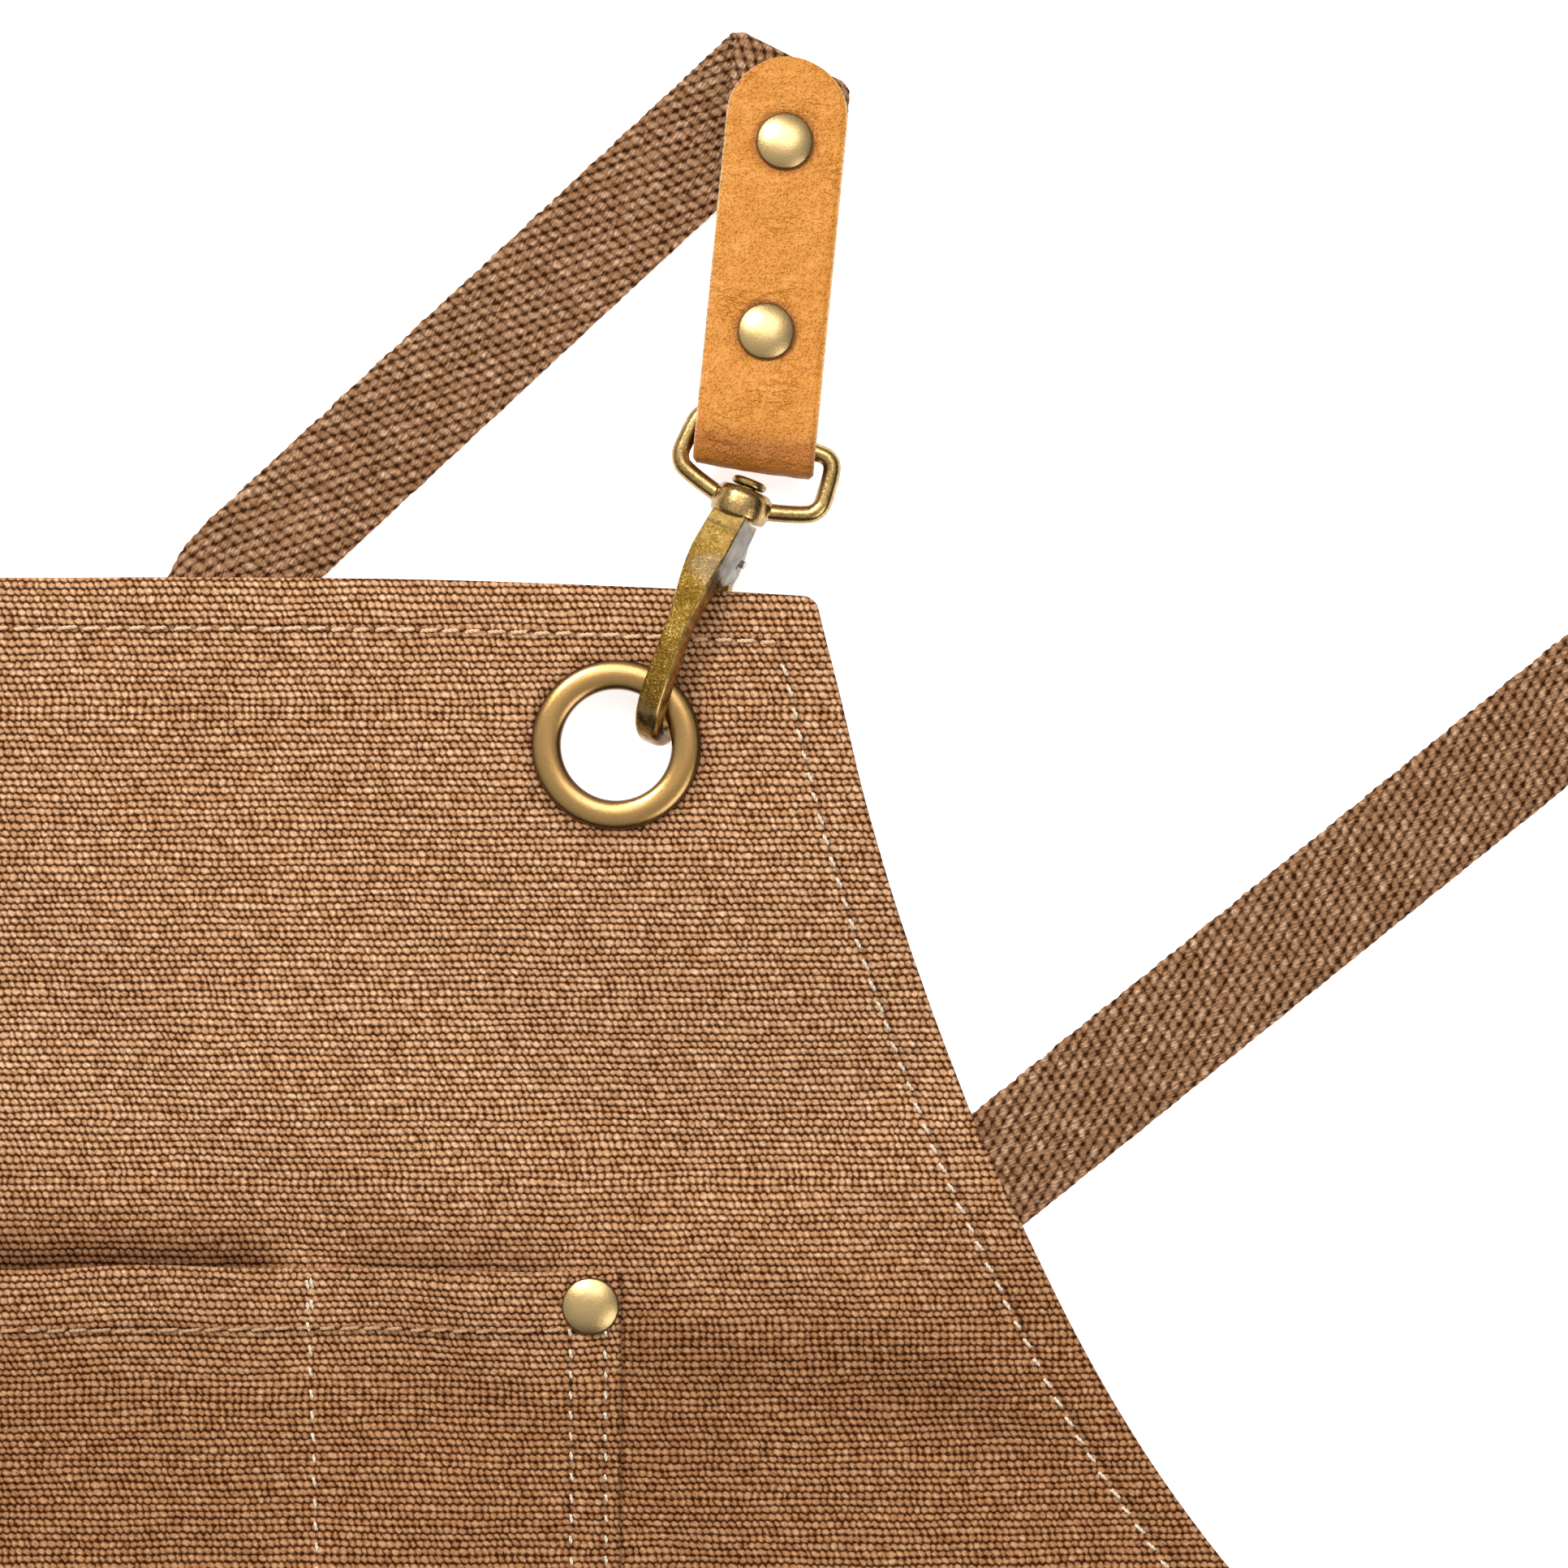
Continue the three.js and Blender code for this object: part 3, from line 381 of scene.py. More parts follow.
def lathe(profile, seg=96):
    """Closed ring or cap about Z from [radius, height] rows; rows with radius 0 end on the axis."""
    prof = np.asarray(profile, float)
    axis_ends = prof[0, 0] < 1e-6 and prof[-1, 0] < 1e-6
    body = prof[1:-1] if axis_ends else prof
    ang = np.arange(seg) / seg * 2 * math.pi
    v = np.concatenate([np.stack([r * np.cos(ang), r * np.sin(ang), np.full(seg, h)], 1) for r, h in body])
    faces = []
    R = len(body)
    for i in range(R - 1 if axis_ends else R):
        k = (i + 1) % R
        for j in range(seg):
            m = (j + 1) % seg
            faces.append([i * seg + j, i * seg + m, k * seg + m, k * seg + j])
    if axis_ends:
        v = np.vstack([v, [0, 0, prof[0, 1]], [0, 0, prof[-1, 1]]])
        a, b = len(v) - 2, len(v) - 1
        for j in range(seg):
            m = (j + 1) % seg
            faces.append([a, m, j]); faces.append([b, (R - 1) * seg + j, (R - 1) * seg + m])
    return v, outward(v, faces)


def round_profile(points, closed=True, radius=0.3, steps=3):
    """Rounds the corners of an outline."""
    p = np.asarray(points, float)
    n = len(p)
    out = []
    for i in range(n):
        if not closed and i in (0, n - 1):
            out.append(p[i]); continue
        a, b, c = p[i - 1], p[i], p[(i + 1) % n]
        l1, l2 = np.linalg.norm(a - b), np.linalg.norm(c - b)
        r = min(radius, 0.45 * l1, 0.45 * l2)
        s, e = b + (a - b) / l1 * r, b + (c - b) / l2 * r
        for k in range(steps + 1):
            t = k / steps
            out.append((1 - t) ** 2 * s + 2 * t * (1 - t) * b + t * t * e)
    return np.array(out)


def frame_matrix(origin, x, y, z):
    m = Matrix.Identity(4)
    for i, a in enumerate((x, y, z)):
        for k in range(3):
            m[k][i] = float(a[k])
    for k in range(3):
        m[k][3] = float(origin[k])
    return np.array(m)


def place(v, M):
    v = np.asarray(v, float)
    return v @ M[:3, :3].T + M[:3, 3]


def mirrored(v, faces, s):
    if s > 0:
        return v, faces
    v = np.array(v, float); v[:, 0] *= -1
    return v, [f[::-1] for f in faces]


# ------------------------------------------------------------------ material helpers
class Tree:
    def __init__(self, name):
        self.m = bpy.data.materials.new(name)
        self.m.use_nodes = True
        self.t = self.m.node_tree
        self.bsdf = self.t.nodes["Principled BSDF"]

    def node(self, kind, **values):
        n = self.t.nodes.new(kind)
        for k, v in values.items():
            setattr(n, k, v)
        return n

    def _in(self, socket, value):
        if isinstance(value, bpy.types.NodeSocket):
            self.t.links.new(value, socket)
        elif value is not None:
            socket.default_value = value

    def math(self, op, a, b=None, c=None, clamp=False):
        n = self.node("ShaderNodeMath", operation=op, use_clamp=clamp)
        self._in(n.inputs[0], a); self._in(n.inputs[1], b)
        if c is not None:
            self._in(n.inputs[2], c)
        return n.outputs[0]

    def vec(self, x, y, z=0.0):
        n = self.node("ShaderNodeCombineXYZ")
        for i, q in enumerate((x, y, z)):
            self._in(n.inputs[i], q)
        return n.outputs[0]

    def scale(self, v, k):
        n = self.node("ShaderNodeVectorMath", operation="MULTIPLY")
        self._in(n.inputs[0], v); n.inputs[1].default_value = k if hasattr(k, "__len__") else (k, k, k)
        return n.outputs[0]

    def uv(self):
        n = self.node("ShaderNodeUVMap", uv_map="real")
        s = self.node("ShaderNodeSeparateXYZ")
        self.t.links.new(n.outputs[0], s.inputs[0])
        return n.outputs[0], s.outputs[0], s.outputs[1]

    def object_mm(self):
        n = self.node("ShaderNodeTexCoord")
        return self.scale(n.outputs["Object"], 1000.0)

    def noise(self, v, scale, detail=2.0, rough=0.5, colour=False):
        n = self.node("ShaderNodeTexNoise")
        self._in(n.inputs["Vector"], v)
        n.inputs["Scale"].default_value = scale
        n.inputs["Detail"].default_value = detail
        n.inputs["Roughness"].default_value = rough
        return n.outputs["Color" if colour else "Fac"]

    def white(self, v):
        n = self.node("ShaderNodeTexWhiteNoise", noise_dimensions="2D")
        self._in(n.inputs["Vector"], v)
        return n.outputs["Value"]

    def voronoi(self, v, scale, feature="F1"):
        n = self.node("ShaderNodeTexVoronoi", feature=feature)
        self._in(n.inputs["Vector"], v)
        n.inputs["Scale"].default_value = scale
        return n.outputs["Distance"]

    def ramp(self, fac, stops):
        n = self.node("ShaderNodeValToRGB")
        self._in(n.inputs[0], fac)
        e = n.color_ramp.elements
        while len(e) < len(stops):
            e.new(0.5)
        for el, (pos, col) in zip(e, stops):
            el.position = pos
            el.color = (*col, 1.0) if len(col) == 3 else col
        return n.outputs[0]

    def mix(self, fac, a, b, blend="MIX"):
        n = self.node("ShaderNodeMix", data_type="RGBA", blend_type=blend)
        self._in(n.inputs["Factor"], fac)
        for s, v in ((n.inputs[6], a), (n.inputs[7], b)):
            if isinstance(v, bpy.types.NodeSocket):
                self.t.links.new(v, s)
            else:
                s.default_value = (*v, 1.0)
        return n.outputs[2]

    def range(self, v, a, b, c, d, clamp=True):
        n = self.node("ShaderNodeMapRange", clamp=clamp)
        self._in(n.inputs[0], v)
        for i, q in enumerate((a, b, c, d)):
            n.inputs[i + 1].default_value = q
        return n.outputs[0]

    def attr(self, name):
        n = self.node("ShaderNodeAttribute", attribute_name=name)
        return n.outputs["Fac"]

    def bump(self, height, distance, strength=1.0, normal=None):
        n = self.node("ShaderNodeBump")
        self._in(n.inputs["Height"], height)
        n.inputs["Distance"].default_value = distance
        n.inputs["Strength"].default_value = strength
        if normal is not None:
            self._in(n.inputs["Normal"], normal)
        return n.outputs[0]

    def out(self, colour=None, rough=None, normal=None, **values):
        if colour is not None:
            self._in(self.bsdf.inputs["Base Color"], colour)
        if rough is not None:
            self._in(self.bsdf.inputs["Roughness"], rough)
        if normal is not None:
            self._in(self.bsdf.inputs["Normal"], normal)
        for k, v in values.items():
            self.bsdf.inputs[k.replace("_", " ")].default_value = v
        return self.m


def canvas_material(name, tint=1.0):
    """Duck canvas: rows of plump thread beads with thin wavy gaps between the rows."""
    T = Tree(name)
    uv, x, y = T.uv()
    # threads wander a little, the rows more slowly than the beads
    wx = T.math("MULTIPLY", T.math("SUBTRACT", T.noise(uv, 0.13, 2), 0.5), 2.2)
    wy = T.math("MULTIPLY", T.math("SUBTRACT", T.noise(T.scale(uv, (0.35, 1.0, 1.0)), 0.14, 2), 0.5), 1.5)
    jx = T.math("MULTIPLY", T.math("SUBTRACT", T.noise(uv, 0.62, 2), 0.5), 1.15)
    jy = T.math("MULTIPLY", T.math("SUBTRACT", T.noise(T.scale(uv, (1.0, 1.0, 1.0)), 0.55, 2), 0.5), 0.42)
    v = T.math("DIVIDE", T.math("ADD", T.math("ADD", y, wy), jy), 1.50)
    j = T.math("FLOOR", v)
    rowr = T.white(T.vec(0.5, j))
    u = T.math("ADD", T.math("DIVIDE", T.math("ADD", T.math("ADD", x, wx), jx), 1.55), T.math("ADD", T.math("MULTIPLY", T.math("MODULO", T.math("ABSOLUTE", j), 2.0), 0.5), T.math("MULTIPLY", rowr, 0.45)))
    dv = T.math("SUBTRACT", T.math("FRACT", v), 0.5)
    u2 = T.math("ADD", u, T.math("MULTIPLY", dv, 0.22))
    i = T.math("FLOOR", u2)
    du = T.math("SUBTRACT", T.math("FRACT", u2), 0.5)
    # the gap between two rows weaves up and down with the beads
    wave = T.math("MULTIPLY", T.math("COSINE", T.math("MULTIPLY", du, 6.2832)), 0.085)
    dvw = T.math("SUBTRACT", T.math("ABSOLUTE", dv), wave)
    a3 = T.math("POWER", T.math("MULTIPLY", T.math("ABSOLUTE", du), 2.0), 2.6)
    b3 = T.math("POWER", T.math("MAXIMUM", T.math("MULTIPLY", dvw, 2.25), 0.0), 2.8)
    rnd = T.white(T.vec(i, j))
    rnd2 = T.white(T.vec(j, T.math("ADD", i, 17.3)))
    gap = T.math("ADD", T.math("MULTIPLY", a3, T.math("MULTIPLY_ADD", rnd2, 0.5, 0.20)), T.math("MULTIPLY", b3, 0.76))
    bead = T.math("SUBTRACT", 1.0, gap, clamp=True)
    # yarn twist: fine slanting strands inside each bead
    slant = T.math("ADD", T.math("MULTIPLY", x, 0.80), T.math("MULTIPLY", y, 0.60))
    twist = T.noise(T.vec(T.math("MULTIPLY", slant, 2.3), T.math("MULTIPLY", T.math("SUBTRACT", T.math("MULTIPLY", y, 0.8), T.math("MULTIPLY", x, 0.6)), 0.62)), 1.0, 3, 0.6)
    fuzz = T.noise(uv, 1.9, 5, 0.8)
    mott = T.noise(uv, 0.42, 3, 0.6)
    h = T.math("ADD", T.math("MULTIPLY", bead, 0.60), T.math("ADD", T.math("MULTIPLY", T.math("SUBTRACT", twist, 0.5), 0.62), T.math("MULTIPLY", T.math("SUBTRACT", rnd, 0.5), 0.16)))
    tone = T.math("ADD", h, T.math("ADD", T.math("MULTIPLY", T.math("SUBTRACT", fuzz, 0.48), 0.95), T.math("MULTIPLY", T.math("SUBTRACT", mott, 0.5), 0.42)))
    # the tone ramp follows the weave's height: its near-black low end in the gaps between rows is painted shade, and
    # its pale top end on the bead tops and strands is painted highlight, over the yarn's own tone
    col = T.ramp(tone, [(0.0, (0.055 * tint, 0.015 * tint, 0.003)), (0.16, (0.175 * tint, 0.066 * tint, 0.020)), (0.36, (0.455 * tint, 0.212 * tint, 0.090)),
                        (0.56, (0.665 * tint, 0.356 * tint, 0.178)), (0.78, (0.94 * tint, 0.625 * tint, 0.39)), (1.0, (1.0, 0.95 * tint, 0.84))])
    big = T.noise(uv, 0.012, 3, 0.55)
    col = T.mix(T.range(big, 0.38, 0.66, 0.0, 0.40), col, (0.84, 0.76, 0.68), "MULTIPLY")
    slub = T.range(T.noise(T.scale(uv, (0.06, 1.0, 1.0)), 0.60, 2), 0.58, 0.75, 0.0, 0.22)
    col = T.mix(slub, col, (0.62, 0.50, 0.42), "MULTIPLY")
    warp = T.range(T.noise(T.scale(uv, (1.0, 0.05, 1.0)), 0.45, 2), 0.58, 0.75, 0.0, 0.16)
    col = T.mix(warp, col, (0.66, 0.54, 0.46), "MULTIPLY")
    # painted shade: the cloth is browner and darker below the chest, where the light falls off
    low = T.range(T.math("ADD", y, T.math("MULTIPLY", T.math("SUBTRACT", T.noise(uv, 0.018, 2), 0.5), 50.0)), -150.0, -108.0, 0.85, 0.0)
    col = T.mix(low, col, (0.68, 0.58, 0.47), "MULTIPLY")
    # painted shade: the shade attribute darkens the cloth in its stitch grooves and edges, round the hardware, under
    # the pockets' mouths and along the folds
    painted_shade_mask = T.attr("shade")
    col = T.mix(painted_shade_mask, col, (0.22, 0.13, 0.07), "MULTIPLY")
    nrm = T.bump(h, 0.0010, 1.0)
    return T.out(col, T.range(tone, 0, 1, 0.97, 0.70), nrm, Specular_IOR_Level=0.10)


def webbing_material(name):
    """Coarse cotton webbing: rows of plump seed-shaped floats that run at a slant to its length, each made of fine strands."""
    T = Tree(name)
    uv, x, y = T.uv()            # x along the strap, y across it
    wob = T.math("MULTIPLY", T.math("SUBTRACT", T.noise(uv, 0.30, 2), 0.5), 1.2)
    jit = T.math("MULTIPLY", T.math("SUBTRACT", T.noise(uv, 0.7, 2), 0.5), 1.0)
    p = T.math("ADD", T.math("ADD", T.math("MULTIPLY", x, 0.389), T.math("MULTIPLY", y, 0.921)), wob)      # across the rows
    q = T.math("ADD", T.math("SUBTRACT", T.math("MULTIPLY", x, 0.921), T.math("MULTIPLY", y, 0.389)), jit)  # along the rows
    v = T.math("DIVIDE", p, 2.05)
    j = T.math("FLOOR", v)
    dv = T.math("SUBTRACT", T.math("FRACT", v), 0.5)
    u = T.math("ADD", T.math("ADD", T.math("DIVIDE", q, 2.45), T.math("MULTIPLY", j, 0.44)), T.math("MULTIPLY", dv, 0.45))
    i = T.math("FLOOR", u)
    du = T.math("SUBTRACT", T.math("FRACT", u), 0.5)
    wave = T.math("MULTIPLY", T.math("COSINE", T.math("MULTIPLY", du, 6.2832)), 0.07)
    rnd = T.white(T.vec(i, j))
    a3 = T.math("POWER", T.math("MULTIPLY", T.math("ABSOLUTE", du), 2.0), 2.6)
    b3 = T.math("POWER", T.math("MAXIMUM", T.math("MULTIPLY", T.math("SUBTRACT", T.math("ABSOLUTE", dv), wave), 2.2), 0.0), 2.4)
    bead = T.math("SUBTRACT", 1.0, T.math("ADD", T.math("MULTIPLY", a3, T.math("MULTIPLY_ADD", T.white(T.vec(j, i)), 0.38, 0.18)), T.math("MULTIPLY", b3, 0.62)), clamp=True)
    sa = T.math("SUBTRACT", T.math("MULTIPLY", y, 0.958), T.math("MULTIPLY", x, 0.297))
    sb = T.math("ADD", T.math("MULTIPLY", x, 0.958), T.math("MULTIPLY", y, 0.297))
    strand = T.noise(T.vec(T.math("MULTIPLY", sa, 1.9), T.math("MULTIPLY", sb, 0.42)), 1.0, 3, 0.6)
    fuzz = T.noise(uv, 1.9, 5, 0.8)
    mott = T.noise(uv, 0.3, 3, 0.6)
    h = T.math("ADD", T.math("MULTIPLY", bead, 0.60), T.math("ADD", T.math("MULTIPLY", T.math("SUBTRACT", strand, 0.5), 1.15), T.math("MULTIPLY", T.math("SUBTRACT", rnd, 0.5), 0.14)))
    tone = T.math("ADD", h, T.math("ADD", T.math("MULTIPLY", T.math("SUBTRACT", fuzz, 0.48), 0.60), T.math("MULTIPLY", T.math("SUBTRACT", mott, 0.5), 0.30)))
    # the tone ramp follows the weave's height: near-black in the gaps between the floats is painted shade, and
    # near-white on the float tops and strands is painted highlight, over the yarn's own tone
    col = T.ramp(tone, [(0.0, (0.038, 0.011, 0.003)), (0.14, (0.135, 0.052, 0.017)), (0.36, (0.275, 0.130, 0.058)), (0.60, (0.44, 0.240, 0.124)), (0.80, (0.76, 0.51, 0.33)), (1.0, (1.0, 0.88, 0.74))])
    big = T.noise(uv, 0.03, 2)
    col = T.mix(T.range(big, 0.38, 0.66, 0.0, 0.4), col, (0.80, 0.70, 0.62), "MULTIPLY")
    nrm = T.bump(h, 0.0013, 1.0)
    return T.out(col, T.range(tone, 0, 1, 0.97, 0.74), nrm, Specular_IOR_Level=0.10)


def leather_material():
    T = Tree("leather")
    uv, x, y = T.uv()
    pore = T.voronoi(uv, 1.35)
    fine = T.voronoi(uv, 2.9)
    wr = T.noise(T.scale(uv, (0.55, 1.3, 1.0)), 0.17, 5, 0.65)
    mott = T.noise(uv, 0.22, 4, 0.6)
    grain = T.noise(uv, 2.2, 3, 0.6)
    crease = T.math("ABSOLUTE", T.math("SUBTRACT", T.noise(T.scale(uv, (0.6, 1.25, 1.0)), 0.30, 3, 0.6), 0.5))
    crease = T.range(crease, 0.0, 0.028, 1.0, 0.0)
    where = T.range(T.noise(uv, 0.085, 2), 0.48, 0.62, 0.0, 1.0)
    crease = T.math("MULTIPLY", crease, where)
    edge = T.attr("edge")
    shade = T.attr("shade")
    col = T.ramp(T.math("ADD", T.math("MULTIPLY", mott, 0.75), T.math("MULTIPLY", grain, 0.25)),
                 [(0.2, (0.56, 0.196, 0.020)), (0.5, (0.63, 0.242, 0.030)), (0.8, (0.70, 0.300, 0.052))])
    col = T.mix(T.range(fine, 0.0, 0.36, 0.62, 0.0), col, (0.66, 0.48, 0.30), "MULTIPLY")
    col = T.mix(T.math("MULTIPLY", crease, 0.38), col, (0.62, 0.42, 0.24), "MULTIPLY")
    col = T.mix(T.range(wr, 0.52, 0.75, 0.0, 0.3), col, (0.80, 0.62, 0.45), "MULTIPLY")
    fray = T.range(T.math("ADD", T.math("MULTIPLY", edge, 1.2), T.noise(uv, 1.6, 3, 0.7)), 1.10, 1.55, 0.0, 1.0)
    col = T.mix(fray, col, (0.72, 0.50, 0.27))
    # painted shade on the tab: at the fold, over the back layer and round the rivet caps
    col = T.mix(shade, col, (0.26, 0.10, 0.035), "MULTIPLY")
    h = T.math("ADD", T.math("MULTIPLY", T.math("MINIMUM", pore, 0.45), 0.9), T.math("ADD", T.math("MULTIPLY", T.math("MINIMUM", fine, 0.35), 0.8), T.math("ADD", T.math("MULTIPLY", wr, 1.6), T.math("MULTIPLY", crease, -0.28))))
    return T.out(col, T.math("ADD", T.range(mott, 0.3, 0.7, 0.50, 0.38), T.math("MULTIPLY", fray, 0.3)), T.bump(h, 0.00058, 1.0), Specular_IOR_Level=0.34)


def brass_material(name, light, dark, patina=0.5, grain=1.0, rough=(0.22, 0.38), mottle=0.45, fine=3.5, rim=(0.20, 0.13, 0.05), sharp=(0.36, 0.64), coat=0.35):
    """Antique brass: a golden-brown metal with brown patina in blotches and specks, and painted reflection and shade
    that make it darkest on the steep flanks and at the foot of each form.
    """
    T = Tree(name)
    p = T.object_mm()
    blotch = T.noise(p, mottle, 4, 0.6)
    speck = T.noise(p, fine, 3, 0.7)
    k = T.math("ADD", T.math("MULTIPLY", blotch, 0.45), T.math("MULTIPLY", speck, 0.55))
    c = T.ramp(T.range(k, sharp[0], sharp[1], 0, 1), [(0.0, dark), (0.55, tuple((a + b) / 2 for a, b in zip(light, dark))), (1.0, light)])
    c = T.mix(patina, light, c)
    # painted reflection and shade: the rim mask darkens the steep flanks and the foot towards the rim colour, in place
    # of the brown cloth and dark surroundings they reflect
    r = T.attr("rim")
    c = T.mix(r, c, rim)
    h = T.math("ADD", T.math("MULTIPLY", speck, 0.6), T.math("MULTIPLY", T.noise(p, fine * 2.6, 2, 0.6), 0.4))
    return T.out(c, T.range(k, 0.35, 0.65, rough[1], rough[0]), T.bump(h, 0.00012 * grain, 0.8), Metallic=1.0, Coat_Weight=coat, Coat_Roughness=0.15)


def cast_material():
    """The hook's antique brass: a pitted, speckled face, polished edges, and bare silvery flanks."""
    T = Tree("cast_antique_brass")
    p = T.object_mm()
    speck = T.noise(p, 2.4, 4, 0.75)
    blotch = T.noise(p, 0.22, 3, 0.6)
    k = T.math("ADD", T.math("MULTIPLY", speck, 0.75), T.math("MULTIPLY", blotch, 0.25))
    face = T.ramp(T.range(k, 0.34, 0.66, 0, 1), [(0.0, (0.035, 0.015, 0.001)), (0.35, (0.115, 0.060, 0.006)), (0.7, (0.235, 0.138, 0.020)), (1.0, (0.72, 0.52, 0.19))])
    polished = T.ramp(T.noise(p, 0.5, 3, 0.6), [(0.3, (0.22, 0.12, 0.025)), (0.62, (0.60, 0.40, 0.14))])
    silver = T.ramp(T.noise(p, 0.25, 2, 0.5), [(0.3, (0.075, 0.058, 0.038)), (0.7, (0.24, 0.205, 0.155))])
    f, s, tip = T.attr("face"), T.attr("flank"), T.attr("tip")
    c = T.mix(f, polished, face)
    c = T.mix(s, c, silver)
    c = T.mix(T.math("MULTIPLY", tip, T.range(T.noise(p, 0.8, 3, 0.7), 0.35, 0.65, 0.4, 1.0)), c, (0.13, 0.045, 0.008))
    rough = T.math("ADD", T.math("MULTIPLY", f, 0.12), T.range(T.noise(p, 1.1, 3), 0.3, 0.7, 0.20, 0.30))
    h = T.math("MULTIPLY", speck, T.math("ADD", T.math("MULTIPLY", f, 0.9), 0.04))
    return T.out(c, rough, T.bump(h, 0.00020, 0.8), Metallic=1.0, Coat_Weight=0.12, Coat_Roughness=0.12)


def thread_material(name, colour, dark):
    T = Tree(name)
    p = T.object_mm()
    n = T.noise(p, 2.2, 3, 0.6)
    f = T.noise(p, 7.0, 2, 0.6)
    c = T.ramp(T.math("ADD", T.math("MULTIPLY", n, 0.5), T.math("MULTIPLY", f, 0.5)), [(0.3, dark), (0.6, colour), (0.8, tuple(min(1, q * 1.15) for q in colour))])
    return T.out(c, 0.75, T.bump(f, 0.0002, 0.8), Sheen_Weight=0.15)


CANVAS = canvas_material("canvas")
WEBBING = webbing_material("webbing")
LEATHER = leather_material()
# the eyelet, rivet and loop brasses each get a dark rim colour for their painted reflection and shade
EYELET = brass_material("eyelet_brass", (0.50, 0.290, 0.088), (0.33, 0.175, 0.045), 0.5, 0.4, (0.22, 0.28), 0.10, 2.6, (0.040, 0.014, 0.002), coat=0.8)
RIVET = brass_material("rivet_brass", (0.68, 0.47, 0.20), (0.43, 0.265, 0.085), 0.4, 0.6, (0.24, 0.32), 0.14, 2.6, (0.12, 0.048, 0.008), coat=0.6)
CAST = cast_material()
LOOP = brass_material("loop_antique_brass", (0.62, 0.41, 0.15), (0.15, 0.078, 0.016), 0.7, 0.7, (0.16, 0.26), 0.28, 1.9, (0.10, 0.05, 0.010), (0.38, 0.60))
STEEL = brass_material("steel_wire", (0.62, 0.61, 0.58), (0.35, 0.34, 0.32), 0.4, 0.5, (0.25, 0.4), 0.5, 5.0)
CREAM = thread_material("cream_thread", (0.96, 0.84, 0.66), (0.62, 0.45, 0.28))
PEACH = thread_material("peach_thread", (0.98, 0.66, 0.40), (0.52, 0.27, 0.12))

# the pockets' hem thread is the peach thread darkened by painted shade
PEACH_IN_PAINTED_SHADE = thread_material("peach_thread_in_painted_shade", (0.70, 0.42, 0.22), (0.34, 0.16, 0.06))

# ------------------------------------------------------------------ canvas panel
def edge_steps(total, fine=(0, 0.25, 0.6, 1.1, 1.8, 2.8, 4, 5.4, 6.8, 8, 8.8, 9.5, 10, 10.5, 11.2, 12.2, 13.6, 15.5, 18)):
    return [q for q in fine if q < total]


def hem_relief(d):
    """Rise of the front and drop of the back across a folded hem, by distance from the edge."""
    d = np.asarray(d, float)
    roll = np.sqrt(np.clip(1 - (1 - np.clip(d / 1.3, 0, 1)) ** 2, 0, 1))
    inside = 1 - ease((d - 9.7) / 2.0)
    stitch = np.exp(-((d - 9.9) / 0.9) ** 2)
    front = 0.55 * inside - 0.45 * stitch
    back = -0.75 * inside
    return roll, front, back


